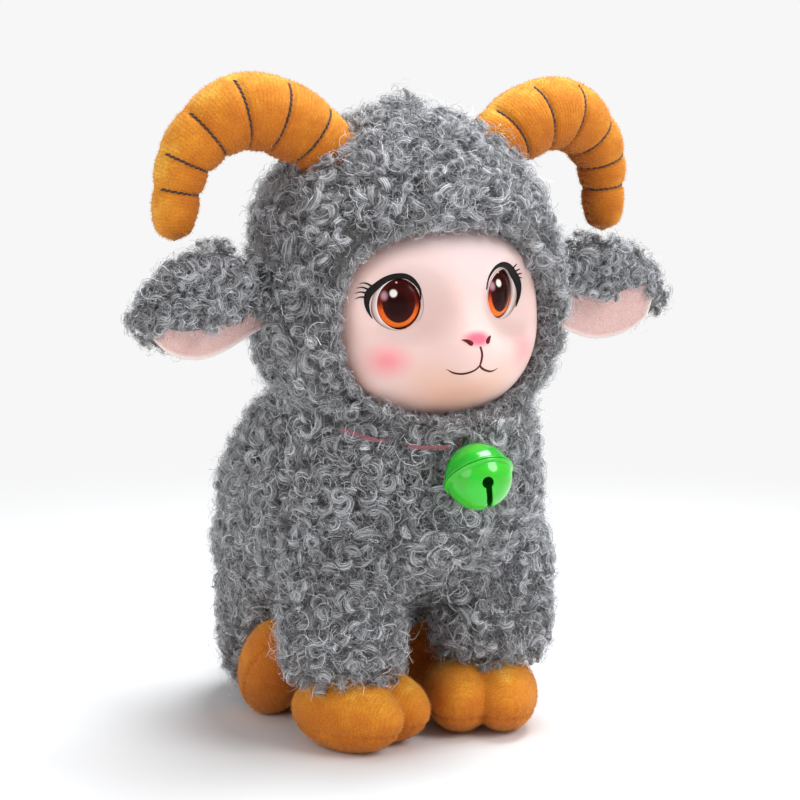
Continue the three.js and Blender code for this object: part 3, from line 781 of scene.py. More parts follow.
CURL_SPACING = 3.15
CURL_LENGTH = 9.2
CURL_HEIGHT = 5.0
# The lowest and highest of each value that is drawn for a curl
CURL_TILTS = (5, 85)
CURL_TURNS = (0.32, 1.1)
CURL_SIZES = (0.7, 1.15)
CURL_RADII = (1.25, 3.0)
CURL_WOBBLES = (-0.08, 0.08)
CURL_CLIMBS = (-0.9, 0.9)
# Some curls are larger than the rest, by this much and with this chance
LARGER = 0.45
LARGER_CHANCE = 0.15
CURL_TAPER = 0.3
CURL_SINK = 0.7
LOWEST_LINE = 0.35
LOCK_WIDTH = 2.9
LOCK_THICKNESS = 1.9
LOCK_SHARE = 0.42
LOCK_SIDES = 7
FIBRE_WIDTH = 0.12
FIBRES = 24
FIBRE_STEPS = 10
FIBRE_REACHES = (0.45, 1.25)
FIBRE_SWAY = 0.6
FIBRE_WAVER = 0.1
FRIZZ_PER_CURL = 50
FRIZZ_STEPS = 6
FRIZZ_WIDTH = 0.105
FRIZZ_SPREAD = 1.5
FRIZZ_RADII = (0.5, 2.1)
FRIZZ_BENDS = (1.2, 4.2)
STRAY_WIDTH = 0.09
STRAY_STEPS = 6
STRAY_BENDS = (0.6, 2.8)
STRAY_START = 0.55
STRAY_LENGTH = 3.2
LUMP_SIZE = 11.0
COVER_FILL = 0.7
HAIR_LENGTHS = (0.5, 1.2)
HAIR_WIDTHS = (0.6, 1.3)
NAP_WIDTH = 0.08
NAP_MESS = 0.35
NAP_ROOM = 0.3
MOST_QUADS = 95000
# The empty edge of each cell on the flat maps, and the gap between the strips in it
MAP_MARGIN = 0.08
MAP_GAP = 0.15


def thin_out(points, spacing, rng):
    """The numbers of points kept so that no two lie closer than the spacing."""
    cells = {}
    kept = []
    keys = np.floor(points / spacing).astype(int)
    around = [(x, y, z) for x in (-1, 0, 1) for y in (-1, 0, 1) for z in (-1, 0, 1)]
    for i in rng.permutation(len(points)):
        a, b, c = keys[i]
        near = (j for x, y, z in around for j in cells.get((a + x, b + y, c + z), ()))
        if all(np.sum((points[i] - points[j]) ** 2) >= spacing**2 for j in near):
            cells.setdefault((a, b, c), []).append(i)
            kept.append(i)
    return np.array(sorted(kept), int)


def depth_inside(tree, points):
    """How deep each point lies inside a closed form, negative outside it."""
    depths = np.empty(len(points))
    for i, point in enumerate(points):
        place, normal, _, _ = tree.find_nearest(Vector(point))
        depths[i] = -(Vector(point) - place).dot(normal)
    return depths


def along_surface(outward, rng):
    """Two directions along the surface at each root, square to each other, the first at random."""
    tangent = unit(np.cross(outward, rng.normal(size=outward.shape)))
    return tangent, np.cross(outward, tangent)


class Curls:
    """The middle line of a lock over each root, with the directions across it and its size."""

    def __init__(self, roots, outward, rng, scale, height):
        def drawn(limits):
            return rng.uniform(*limits, (len(roots), 1))

        tangent, beside = along_surface(outward, rng)
        tilt = np.radians(drawn(CURL_TILTS))
        axis = unit(outward * np.sin(tilt) + beside * np.cos(tilt))
        rise = np.cross(axis, tangent)
        hand = rng.choice([-1, 1], (len(roots), 1))
        wound = drawn(CURL_TURNS)
        size = scale * (drawn(CURL_SIZES) + LARGER * (rng.random((len(roots), 1)) < LARGER_CHANCE))
        radius = np.clip(CURL_LENGTH / (FULL_TURN * wound), *CURL_RADII) * size
        s = np.linspace(0, 1, FIBRE_STEPS)[None]
        wobble = drawn(CURL_WOBBLES) * np.sin(FULL_TURN * s)
        angle = drawn((0, FULL_TURN)) + hand * FULL_TURN * wound * (s + wobble)
        out = np.cos(angle)[..., None] * tangent[:, None] + np.sin(angle)[..., None] * rise[:, None]
        climb = drawn(CURL_CLIMBS) * s * size
        line = out * (radius * (1 - CURL_TAPER * s))[..., None] + axis[:, None] * climb[..., None]
        line -= line.mean(axis=1, keepdims=True)
        up = np.sum(line * outward[:, None], axis=-1)
        height = height[:, None]
        wanted = up - up.max(axis=1, keepdims=True) + height - CURL_SINK * size
        wanted = np.maximum(wanted, LOWEST_LINE + 0.2 * np.sin(5 * s))
        line += outward[:, None] * (wanted - up)[..., None]
        self.line = roots[:, None] + line
        self.out = out
        self.axis = axis
        self.size = np.sqrt(size)
        self.spread = np.sin(np.pi * np.clip(0.14 + 0.8 * s, 0, 1)) ** 0.7
        self.share = s
        # Painted shade and light: a lock is darker the lower it stands over the cloth and lighter towards its
        # crown, with a random tone on top
        self.tone = 0.1 + 0.4 * np.clip(wanted / height, 0, 1) ** 1.2 + rng.normal(0, 0.08, (len(roots), 1))


def above_floor(points):
    points[..., 2] = np.maximum(points[..., 2], FLOOR_CLEARANCE)
    return points


def ribbons(middle, flat, half, tone):
    """The two edges of each ribbon, from its middle line, flat direction and half width, and their tones."""
    side = flat * half[..., None]
    edges = above_floor(np.stack([middle - side, middle + side], axis=3))
    return edges, np.repeat(np.clip(tone, 0, 1)[..., None], 2, axis=-1)


def fibre_ribbons(curls, rng):
    """The fibres of each lock."""
    shape = (len(curls.line), FIBRES, 1)
    s = curls.share[:, None]
    size = curls.size[:, None] * curls.spread[:, None]
    turn = rng.uniform(0, FULL_TURN, shape) + rng.uniform(-FIBRE_SWAY, FIBRE_SWAY, shape) * s
    reach = rng.uniform(*FIBRE_REACHES, shape) + np.abs(rng.normal(0, 0.4, shape)) * (0.2 + s) ** 2
    across = np.cos(turn) * LOCK_WIDTH / 2 * size * reach
    nested = np.sin(turn) * LOCK_THICKNESS / 2 * size * reach
    waver = FIBRE_WAVER * np.sin(FULL_TURN * (rng.uniform(1.5, 4, shape) * s + rng.random(shape)))
    axis = curls.axis[:, None, None]
    out = curls.out[:, None]
    middle = curls.line[:, None] + axis * (across + waver)[..., None] + out * (nested + waver)[..., None]
    twist = (turn + math.pi / 2 + rng.normal(0, 0.5, shape))[..., None]
    flat = axis * np.cos(twist) + out * np.sin(twist)
    half = FIBRE_WIDTH / 2 * rng.uniform(0.6, 1.25, shape) * np.clip(1.15 - s, 0, 1) ** 0.5
    # The fibres are drawn a little lighter than their lock's body, and some of them lighter still as painted
    # glints
    glint = (rng.random(shape) < 0.16) * 0.3
    return ribbons(middle, flat, half, curls.tone[:, None] + 0.06 + rng.normal(0, 0.13, shape) + glint)


def frizz_ribbons(roots, outward, rng, scale, height):
    """Short loose fibres that fill the room between the curls."""
    shape = (len(roots), FRIZZ_PER_CURL, 1)
    roots = roots[:, None]
    tangent, beside = along_surface(outward, rng)
    outward = outward[:, None]
    up = rng.uniform(0.1, 0.92, shape)
    glint = rng.random(shape) < 0.12
    up = up + glint * 0.2
    centre = roots + tangent[:, None] * rng.normal(0, FRIZZ_SPREAD * scale, shape)
    centre = centre + beside[:, None] * rng.normal(0, FRIZZ_SPREAD * scale, shape)
    centre = centre + outward * up * height[:, None, None]
    axis = unit(rng.normal(size=centre.shape) + outward * rng.uniform(0, 1.4, shape))
    first, second = along_surface(axis, rng)
    s = np.linspace(0, 1, FRIZZ_STEPS)[None, None]
    angle = rng.uniform(0, FULL_TURN, shape) + rng.uniform(*FRIZZ_BENDS, shape) * s
    radius = (rng.uniform(*FRIZZ_RADII, shape) + glint * 1.2) * scale * (1 - 0.4 * s)
    out = first[:, :, None] * np.cos(angle)[..., None] + second[:, :, None] * np.sin(angle)[..., None]
    middle = centre[:, :, None] + out * radius[..., None]
    floor = np.sum((middle - roots[:, None]) * outward[:, None], axis=-1)
    middle = middle + outward[:, None] * np.maximum(0.1 - floor, 0)[..., None]
    flat = axis[:, :, None] * rng.normal(size=(*shape, 1)) + out * rng.normal(size=(*shape, 1))
    half = FRIZZ_WIDTH / 2 * rng.uniform(*HAIR_WIDTHS, shape) * (1.1 - s) ** 0.5
    # Painted shade and highlights: frizz is drawn lighter the higher it stands off the cloth, and the glints
    # lighter still
    tone = 0.17 + 0.36 * up + glint * 0.25 + rng.normal(0, 0.12, shape) + 0 * s
    return ribbons(middle, unit(flat), half, tone)


def stray_ribbons(roots, outward, rng, length):
    """Single fine fibres that stand out beyond the curls."""
    shape = (len(roots), 1, 1)
    s = np.linspace(0, 1, STRAY_STEPS)[None, None]
    tangent, beside = along_surface(outward, rng)
    bend = rng.uniform(*STRAY_BENDS, shape)
    size = length * rng.uniform(*HAIR_LENGTHS, shape) / bend
    middle = roots[:, None, None] + outward[:, None, None] * (size * np.sin(bend * s))[..., None]
    middle = middle + tangent[:, None, None] * (size * (1 - np.cos(bend * s)))[..., None]
    flat = np.broadcast_to(beside[:, None, None], middle.shape)
    half = STRAY_WIDTH / 2 * (1 - 0.7 * s) * np.ones(shape)
    # Painted shade: each stray is drawn a little darker at its root than at its tip
    return ribbons(middle, flat, half, rng.normal(0.55, 0.14, shape) + 0.1 * s)


def nap_ribbons(roots, outward, rng, length, brush):
    """Very short straight hairs, leaning along the brushed direction."""
    shape = (len(roots), 1, 1)
    lean = unit(outward + np.array(brush) + rng.normal(0, NAP_MESS, roots.shape))
    s = np.array([0.0, 1.0])[None, None]
    size = length * rng.uniform(*HAIR_LENGTHS, shape) * s
    middle = roots[:, None, None] + lean[:, None, None] * size[..., None]
    flat = unit(np.cross(lean, rng.normal(size=roots.shape)))
    flat = np.broadcast_to(flat[:, None, None], middle.shape)
    half = NAP_WIDTH / 2 * (1 - 0.8 * s) * np.ones(shape)
    # Painted shade and sheen: each hair is drawn darker at its root and lighter at its tip
    return ribbons(middle, flat, half, rng.normal(0.4, 0.2, shape) + 0.3 * s)


def map_places(first, count, across, u, v):
    """Places on the flat map for locks that each have a cell of it, from their places in the cell."""
    lock = np.arange(first, first + count)
    cell = np.stack([lock % across, lock // across], axis=-1)[:, None, None, None]
    inner = np.stack(np.broadcast_arrays(u, v), axis=-1)
    return (cell + MAP_MARGIN + (1 - 2 * MAP_MARGIN) * inner) / across


def set_map(made, corners):
    flat_map = made.data.uv_layers.new(name="OFBake")
    flat_map.data.foreach_set("uv", corners.astype(np.float32).ravel())


def lock_object(name, curls, rng):
    """The bodies of the locks under their fibres, each an oval tube."""
    count, steps = curls.line.shape[:2]
    turn = turns(LOCK_SIDES)
    size = curls.size * curls.spread * LOCK_SHARE
    wide = (LOCK_WIDTH / 2 * size)[..., None] * np.cos(turn)
    thick = (LOCK_THICKNESS / 2 * size)[..., None] * np.sin(turn)
    points = curls.line[:, :, None] + curls.axis[:, None, None] * wide[..., None]
    points = points + curls.out[:, :, None] * thick[..., None]
    run = curls.share[..., None] * 1.2 + rng.uniform(0, 90, (count, 1, 1))
    grain = np.stack([wide, thick, np.broadcast_to(run, wide.shape)], axis=-1)
    index = np.arange(count * steps * LOCK_SIDES).reshape(count, steps, LOCK_SIDES)
    after = np.roll(index, -1, axis=2)
    quads = np.stack([index[:, :-1], index[:, 1:], after[:, 1:], after[:, :-1]], axis=-1).reshape(-1, 4)
    made = quad_object(name, above_floor(points).reshape(-1, 3), quads, LOCK)
    # The body is drawn a little darker than its fibres, as painted shade under them
    set_attribute(made, "tone", np.clip(np.repeat(curls.tone - 0.06, LOCK_SIDES), 0, 1))
    set_attribute(made, "grain", grain * MM, "FLOAT_VECTOR", "vector")
    u = (np.arange(LOCK_SIDES)[None, :, None] + np.array([0, 0, 1, 1])) / LOCK_SIDES
    v = (np.arange(steps - 1)[:, None, None] + np.array([0, 1, 1, 0])) / (steps - 1)
    set_map(made, map_places(0, count, math.ceil(math.sqrt(count)), u, v))
    return made


def ribbon_object(name, batches, material):
    """One object for batches of ribbons, each batch an array of locks, fibres, steps and two edges."""
    quads = []
    maps = []
    start = 0
    first = 0
    across = math.ceil(math.sqrt(sum(len(edges) for edges, _ in batches)))
    for edges, _ in batches:
        count, fibres, steps = edges.shape[:3]
        index = np.arange(count * fibres * steps * 2).reshape(count, fibres, steps, 2) + start
        corners = [index[:, :, :-1, 0], index[:, :, 1:, 0], index[:, :, 1:, 1], index[:, :, :-1, 1]]
        quads.append(np.stack(corners, axis=-1).reshape(-1, 4))
        u = (np.arange(fibres)[:, None, None] + MAP_GAP + (1 - 2 * MAP_GAP) * np.arange(2)) / fibres
        v = np.arange(steps)[:, None] / (steps - 1)
        maps.append(map_places(first, count, across, u, v).reshape(-1, 2))
        start += index.size
        first += count
    quads = np.concatenate(quads)
    made = quad_object(name, np.concatenate([edges.reshape(-1, 3) for edges, _ in batches]), quads, material)
    set_attribute(made, "tone", np.concatenate([tone.ravel() for _, tone in batches]))
    set_map(made, np.concatenate(maps)[quads.ravel()])
    return made


def lumpy(points, seed, size=LUMP_SIZE):
    """A smooth value from 0 to 1 that varies over places, for patches of longer and shorter pile."""
    rng = np.random.default_rng(seed)
    total = np.zeros(len(points))
    for _ in range(6):
        way = rng.normal(size=3)
        way *= FULL_TURN / (size * np.linalg.norm(way)) * rng.uniform(0.7, 1.3)
        total += np.sin(points @ way + rng.uniform(0, FULL_TURN))
    return 0.5 + 0.5 * np.clip(total / 3.5, -1, 1)


def pile_pieces(name, points, outward, tall, seed, body="root", scale=1.0, strays=1.0, reach=STRAY_LENGTH):
    """Curls, frizz and strays at the given roots, in as many pieces as keep each of them small."""
    rng = np.random.default_rng(seed)
    quads = FIBRES * (FIBRE_STEPS - 1) + FRIZZ_PER_CURL * (FRIZZ_STEPS - 1)
    quads += (STRAY_STEPS - 1) * math.ceil(strays)
    pieces = math.ceil(len(points) * quads / MOST_QUADS)
    x, y = points[:, 0], points[:, 1]
    order = np.argsort(np.arctan2(x - x.mean(), y.mean() - y))
    made = []
    for number, part in enumerate(np.array_split(order, pieces)):
        p, n, h = points[part], outward[part], tall[part]
        curls = Curls(p, n, rng, scale, h)
        some = rng.choice(len(part), int(len(part) * strays))
        start = p[some] + n[some] * h[some, None] * STRAY_START
        batches = [fibre_ribbons(curls, rng), frizz_ribbons(p, n, rng, scale, h)]
        batches.append(stray_ribbons(start, n[some], rng, reach * scale))
        label = name if pieces == 1 else f"{name}_{number + 1}"
        made.append(dress(lock_object(f"{label}_locks", curls, rng), body, "pile"))
        made.append(dress(ribbon_object(f"{label}_curls", batches, PILE), body, "pile"))
    return made


def cover_object(name, form, *nodes, depth=PILE_DEPTH):
    """The fabric under the curls: the form drawn in by the pile's depth."""
    made = closed_object(name, *form.mesh_parts(above_floor(form.inset(depth))), PILE_BASE)
    return dress(made, "root", "pile", *nodes, fill=COVER_FILL)


def nap_object(name, made, seed, spacing, length, material, brush, body="root", slot="velour"):
    """Short hairs all over a velour piece, spread evenly by area."""
    rng = np.random.default_rng(seed)
    mesh = made.data
    mesh.calc_loop_triangles()
    corners = np.empty(len(mesh.loop_triangles) * 3, np.int32)
    mesh.loop_triangles.foreach_get("vertices", corners)
    corners = corners.reshape(-1, 3)
    points = mesh_points(made)[corners]
    normals = vertex_values(made, "normal")[corners]
    area = np.linalg.norm(np.cross(points[:, 1] - points[:, 0], points[:, 2] - points[:, 0]), axis=1) / 2
    count = int(area.sum() / spacing**2)
    pick = rng.choice(len(area), size=count, p=area / area.sum())
    share = rng.dirichlet([1, 1, 1], count)[..., None]
    points, outward = (points[pick] * share).sum(axis=1), unit((normals[pick] * share).sum(axis=1))
    high = points[:, 2] > FLOOR_CLEARANCE + NAP_ROOM
    batch = nap_ribbons(points[high], outward[high], rng, length, brush)
    return dress(ribbon_object(name, [batch], material), body, slot)


# Vinyl face

FACE_WIDTH = 55
FACE_HEIGHT = 47
FACE_SQUARENESS = 2.3
FACE_CENTRE_HEIGHT = 105
FACE_RIM_FORWARD = 64
FACE_WALL = 1.6
FACE_EDGE = 2
FACE_DOME = 14.5
FACE_DOME_POWER = 2.6
FACE_DOME_FALL = 0.7
OPENING_OUTNESS = 1.015
OPENING_BEHIND = 0.4
OPENING_STRAIGHT = 4
OPENING_FLARE_SHARE = 0.56
BROW_PROJECTION = 5
MUZZLE_PROJECTION = 6.5
MUZZLE_HEIGHT = 97.5
MUZZLE_SPREAD = 10
SOCKET_SPREAD = 9
SOCKET_TEMPLE_SHARE = 0.65
LID_RISE = 0.5
FACE_RINGS = 60
FACE_SIDES = 144
SLOPE_STEP = 0.05
# The shade along the face's edge: where it comes in, its strength, and how much less it is higher up
SHADE_START = 0.86
SHADE_REACH = 0.14
SHADE_POWER = 1.6
SHADE_STRENGTH = 0.55
SHADE_LESS_ABOVE = 0.15
UPPER_START = 100
UPPER_REACH = 20
OPENING_SIDES = 96

EYE_SPACING = 28
EYE_HEIGHT = 110.2
EYE_FORWARD = 71.8
EYE_SPLAY = 24
IRIS_WIDTH = 10.8
IRIS_HEIGHT = 12
EYE_BULGE = 1.5
EYE_BACK = 1.2
EYE_LIFT = 0.15
EYE_HOLE_SIDES = 72
EYE_HOLE_CLEARANCE = 0.05
EYE_HOLE_ENDS = (-3.2, 9.0)
EYE_RINGS = 40
EYE_SIDES = 80
WHITE_SIDES = 96
WHITE_GAP = 0.1
WHITE_TUCK = 0.6
# How far across and up each eye is moved from where the solids have it, as the photo's face isn't even
EYE_SHIFTS = {1: (-1.2, 1.2), -1: (0.0, -0.4)}


def face_outness(x, z):
    """How far a place lies from the face's middle towards its outline, which is at 1."""
    across = np.abs(x) / (FACE_WIDTH / 2)
    up = np.abs(z - FACE_CENTRE_HEIGHT) / (FACE_HEIGHT / 2)
    return (across**FACE_SQUARENESS + up**FACE_SQUARENESS) ** (1 / FACE_SQUARENESS)


def face_outline(out, turn):
    """A place across and up the face, from its outness and its direction."""
    c, s = squared_circle(turn, FACE_SQUARENESS)
    return out * FACE_WIDTH / 2 * c, out * FACE_HEIGHT / 2 * s + FACE_CENTRE_HEIGHT


def face_forward(x, z):
    """How far forward the face's surface lies."""
    rise = (z - FACE_CENTRE_HEIGHT) / (FACE_HEIGHT / 2)
    brow = BROW_PROJECTION * np.maximum(0, rise) ** 2
    out = np.minimum(1, face_outness(x, z))
    dome = FACE_DOME * (1 - out**FACE_DOME_POWER) ** FACE_DOME_FALL
    from_muzzle = np.hypot(x, z - MUZZLE_HEIGHT) / MUZZLE_SPREAD
    muzzle = MUZZLE_PROJECTION * np.exp(-(from_muzzle**2))
    outward = np.abs(x) - EYE_SPACING / 2
    reach = np.where(outward > 0, outward * SOCKET_TEMPLE_SHARE, outward)
    from_eye = np.hypot(reach, z - EYE_HEIGHT) / SOCKET_SPREAD
    eye_plane = EYE_FORWARD + LID_RISE - outward * math.tan(math.radians(EYE_SPLAY))
    fade = 1 - out**6
    socket = np.exp(-(from_eye**4)) * fade
    plain = FACE_RIM_FORWARD + FACE_EDGE + dome + brow + muzzle * fade
    return plain * (1 - socket) + eye_plane * socket


def on_face(x, z, lift=0.0):
    """A point on the face's surface, or lifted off it."""
    step = SLOPE_STEP
    slope_x = (face_forward(x + step, z) - face_forward(x - step, z)) / (2 * step)
    slope_z = (face_forward(x, z + step) - face_forward(x, z - step)) / (2 * step)
    away = unit(np.stack([-slope_x, -np.ones_like(slope_x), -slope_z], axis=-1))
    return np.stack([x, -face_forward(x, z), z], axis=-1) + away * lift


def eye_centre(sign):
    across, up = EYE_SHIFTS[sign]
    return sign * EYE_SPACING / 2 + across, EYE_HEIGHT + up


def flare(forward):
    """How many times as wide the hood's opening is at a place as it is at the face's rim."""
    beyond = np.maximum(0, forward - FACE_RIM_FORWARD - OPENING_STRAIGHT)
    return 1 + beyond * OPENING_FLARE_SHARE / (FACE_WIDTH / 2)


def face_opening():
    """A closed form as wide as the hood's opening, straight round the rim and wider towards the front."""
    x, z = face_outline(OPENING_OUTNESS, turns(OPENING_SIDES))
    places = [FACE_RIM_FORWARD + further for further in (-OPENING_BEHIND, OPENING_STRAIGHT, HEAD_DEPTH)]
    return prism([np.column_stack([x * flare(place), np.full(len(x), -place), z]) for place in places])


def in_eye(sign, across, forward, up):
    """A point given about an eye's middle, across its iris, forward of it and up it."""
    shift, rise = EYE_SHIFTS[sign]
    moved = across + shift / math.cos(math.radians(EYE_SPLAY))
    local = np.stack(np.broadcast_arrays(moved, -forward, up + rise), axis=-1)
    middle = np.array([sign * EYE_SPACING / 2, -EYE_FORWARD, EYE_HEIGHT])
    return local @ turned(sign * EYE_SPLAY, "Z").T + middle


def iris_outline(turn, clearance=0.0):
    return (IRIS_WIDTH / 2 + clearance) * np.cos(turn), (IRIS_HEIGHT / 2 + clearance) * np.sin(turn)


def eye_hole(sign):
    """A closed oval prism through the face at an eye."""
    across, up = iris_outline(turns(EYE_HOLE_SIDES), EYE_HOLE_CLEARANCE)
    return prism([in_eye(sign, across, forward, up) for forward in EYE_HOLE_ENDS])


def face_object():
    out = np.sin(np.linspace(0.02, 1, FACE_RINGS) * math.pi / 2)[:, None]
    x, z = face_outline(out, turns(FACE_SIDES)[None])
    front = np.stack([x, -face_forward(x, z), z], axis=-1)
    rim = front[-1:].copy()
    rim[..., 1] = -FACE_RIM_FORWARD
    centre = np.array([0, 0, FACE_CENTRE_HEIGHT])
    thinner = np.array([1 - FACE_WALL / (FACE_WIDTH / 2), 1, 1 - FACE_WALL / (FACE_HEIGHT / 2)])
    back = (front[::-1] - centre) * thinner + centre
    back[..., 1] += FACE_WALL
    back_rim = (rim - centre) * thinner + centre
    made = tube_object("face", np.concatenate([front, rim, back_rim, back]), VINYL)
    cut_away(made, [eye_hole(sign) for _, sign in SIDES])
    x, _, z = mesh_points(made).T
    upper = np.clip((z - UPPER_START) / UPPER_REACH, 0, 1)
    out = np.clip((face_outness(x, z) - SHADE_START) / SHADE_REACH, 0, 1)
    shade = out**SHADE_POWER * (SHADE_STRENGTH - SHADE_LESS_ABOVE * upper)
    set_attribute(made, "edge_shade", shade)
    dress(made, "root", "vinyl", "face_mask")


def eye_object(side, sign):
    across, up = iris_outline(turns(EYE_SIDES))
    r = np.append(np.linspace(0.01, 1, EYE_RINGS), 1)[:, None]
    forward = EYE_LIFT + EYE_BULGE * (1 - r**2)
    forward[-1] -= EYE_BACK
    made = tube_object(f"eye_{side}", in_eye(sign, r * across, forward, r * up), EYE)
    set_attribute(made, "across", r * across / (IRIS_WIDTH / 2))
    set_attribute(made, "up", r * up / (IRIS_HEIGHT / 2))
    dress(made, "root", "clear", f"eye_dome_{side}", f"eye_print_{side}")


# The white's outline about the eye's middle: its direction in degrees from straight out, and its distance
WHITE_OUTLINE = [
    (-180, 5.1), (-130, 5.65), (-95, 6.15), (-77, 6.3), (-58, 6.6), (-42, 6.8), (-24, 6.8), (-4, 6.6),
    (13, 6.3), (40, 6.6), (75, 6.6), (110, 6.3), (145, 5.45),
]
# Each ring of the white: its share of the way from the iris to the outline, and how far off the face it lies
WHITE_RINGS = [(0.03, 0.07), (0.35, 0.07), (0.7, 0.07), (1, 0.03), (1, -0.4)]
WHITE_SHADES = [0, 0, 0.4, 0.8, 1, 1]
# Each upper lid's middle line, out from the eye's middle and up, with its width
LID_LINES = {
    -1: [
        (-4.6, 1.0, 0.15), (-4.3, 3.3, 0.5), (-2.9, 5.3, 0.9), (-1, 6.5, 1.2), (1.3, 6.6, 1.4),
        (3.4, 5.9, 1.6), (5.5, 4.3, 1.9), (7.2, 2.5, 2.0), (7.6, 0.5, 1.4), (7.2, -1.5, 0.8),
        (6.4, -3.3, 0.15),
    ],
    1: [
        (-6.2, 1.4, 0.15), (-5.8, 4.0, 0.5), (-3.9, 6.2, 0.9), (-1.1, 7.1, 1.25), (1.9, 6.4, 1.5),
        (4.6, 4.3, 1.8), (6.5, 1.9, 1.9), (7.0, -0.4, 1.3), (6.7, -2.2, 0.7), (6.1, -3.6, 0.15),
    ],
}
# Each lash's root, middle and tip, and the width at each of them
LASHES = {
    -1: [
        [(6.6, 4.3), (8.3, 5.1), (9.4, 5.0)], [(7.3, 3.5), (8.9, 4.1), (10.1, 3.9)],
        [(7.7, 2.7), (9.3, 3.0), (10.5, 2.6)], [(7.8, 1.7), (9.4, 1.8), (10.4, 1.3)],
    ],
    1: [
        [(3.0, 5.3), (3.8, 6.3), (4.4, 7.0)], [(4.2, 4.6), (5.2, 5.4), (6.0, 5.7)],
        [(5.1, 3.9), (6.2, 4.5), (7.0, 4.6)], [(5.8, 3.1), (6.7, 3.5), (7.4, 3.4)],
    ],
}
LASH_WIDTHS = (0.5, 0.3, 0.06)
# Across a painted line, from side to side, and how far it stands up there
STROKE_SECTION = [(-1, -0.2), (-1, 0.25), (-0.6, 0.85), (0, 1), (0.6, 0.85), (1, 0.25), (1, -0.2)]
# The mouth's painted lines: each point is across, up and a width
NOSTRILS = {
    -1: [(-4.0, 101.9, 0.15), (-2.9, 101.6, 0.85), (-2.1, 101.1, 1.2), (-1.7, 100.8, 0.7)],
    1: [(4.0, 102.5, 0.2), (3.2, 102.0, 0.85), (2.5, 101.3, 1.15), (2.1, 100.9, 0.6)],
}
MOUTH_LINES = {
    -1: [
        (0.3, 95.7, 0.46), (-0.6, 94.7, 0.5), (-1.8, 94.1, 0.52), (-3.4, 93.8, 0.5), (-5.3, 94.1, 0.38),
        (-6.9, 95.0, 0.08),
    ],
    1: [
        (0.3, 95.7, 0.46), (1.2, 95.0, 0.5), (2.6, 94.4, 0.5), (4.9, 93.9, 0.46), (6.3, 94.1, 0.32),
        (7.3, 94.5, 0.08),
    ],
}
LIP_LINE = [(0.1, 100.3, 0.55), (0.5, 98.4, 0.6), (0.3, 95.7, 0.5)]
LID_STAND = 0.3
LASH_STAND = 0.25
NOSTRIL_STAND = 0.06
MOUTH_STAND = 0.08


def stroke_object(name, line, material, stand):
    """A raised painted line along the face: each of its points is across, up and a width."""
    line = smooth_rows(line, max(12, 5 * len(line)))
    ahead = unit(np.gradient(line[:, :2], axis=0))
    beside = np.stack([-ahead[:, 1], ahead[:, 0]], axis=1)
    rings = []
    for share, up in STROKE_SECTION:
        x, z = (line[:, :2] + beside * (line[:, 2:3] / 2 * share)).T
        rings.append(on_face(x, z, up * stand))
    dress(tube_object(name, np.stack(rings, axis=1), material), "root", "vinyl")


def eye_white_object(side, sign):
    turn = turns(WHITE_SIDES)
    degrees, distance = np.array(WHITE_OUTLINE).T
    reach = np.interp(np.degrees(turn), (degrees + 360) % 360, distance, period=360)
    reach = np.convolve(np.concatenate([reach[-4:], reach, reach[:4]]), np.ones(9) / 9, "valid")
    in_x, in_z = iris_outline(turn, WHITE_GAP)
    rings = [in_eye(sign, sign * in_x, -WHITE_TUCK, in_z)]
    in_x = in_x * math.cos(math.radians(EYE_SPLAY))
    middle_x, middle_z = eye_centre(sign)
    for share, lift in WHITE_RINGS:
        x = middle_x + sign * (in_x * (1 - share) + reach * np.cos(turn) * share)
        z = middle_z + in_z * (1 - share) + reach * np.sin(turn) * share
        rings.append(on_face(x, z, lift))
    made = tube_object(f"eye_white_{side}", np.stack(rings), EYE_WHITE, closed=True)
    # Painted shade on the white: darker on the rings further out, and towards its outer and inner sides
    outer = np.tile(np.cos(turn + 0.5), len(rings))
    shade = np.repeat(WHITE_SHADES, WHITE_SIDES) * (0.35 + 0.65 * outer.clip(0, 1) ** 0.5)
    set_attribute(made, "outer", np.maximum(shade, 0.85 * (-outer).clip(0, 1) ** 0.5))
    dress(made, "root", "vinyl")


def face_details():
    for side, sign in SIDES:
        eye_object(side, sign)
        eye_white_object(side, sign)
        middle_x, middle_z = eye_centre(sign)

        def about_eye(points):
            return [(middle_x + sign * out, middle_z + up, width) for out, up, width in points]

        stroke_object(f"eyelid_{side}", about_eye(LID_LINES[sign]), LASH, LID_STAND)
        for number, lash in enumerate(LASHES[sign]):
            line = about_eye([(*place, width) for place, width in zip(lash, LASH_WIDTHS)])
            stroke_object(f"eyelash_{side}_{number + 1}", line, LASH, LASH_STAND)
        stroke_object(f"nostril_{side}", NOSTRILS[sign], MOUTH, NOSTRIL_STAND)
        stroke_object(f"mouth_{side}", MOUTH_LINES[sign], MOUTH, MOUTH_STAND)
    stroke_object("mouth_middle", LIP_LINE, MOUTH, MOUTH_STAND)


# Horns

HORN_REACH = 41
HORN_RISE = 30
HORN_SWEEP = 6
HORN_ROOT_OUT = 19
HORN_ROOT_FORWARD = 52.5
HORN_TIP_HEIGHT = 124.4
HORN_THICKNESS = 18.4
# Each section's way out, height, sweep to the back, and thickness
HORN_SHARES = [
    (0, 0.55, 0, 0), (0.03, 0.62, 0, 0.7), (0.12, 0.74, 0.05, 0.86), (0.25, 0.87, 0.1, 0.96),
    (0.43, 0.98, 0.15, 1), (0.64, 1, 0.25, 0.98), (0.83, 0.84, 0.45, 0.85), (0.945, 0.64, 0.68, 0.74),
    (0.98, 0.42, 0.86, 0.65), (1, 0.2, 0.95, 0.57), (1, 0.07, 1, 0.42), (1, 0, 1, 0),
]
HORN_RINGS = 260
HORN_SIDES = 72
# Where each row of stitches crosses the horn's middle line, out and up
STITCH_PLACES = [(27.3, 148.9), (36.1, 153.5), (45.2, 154.3), (52.7, 149), (57.2, 142.9), (58.4, 136.1)]
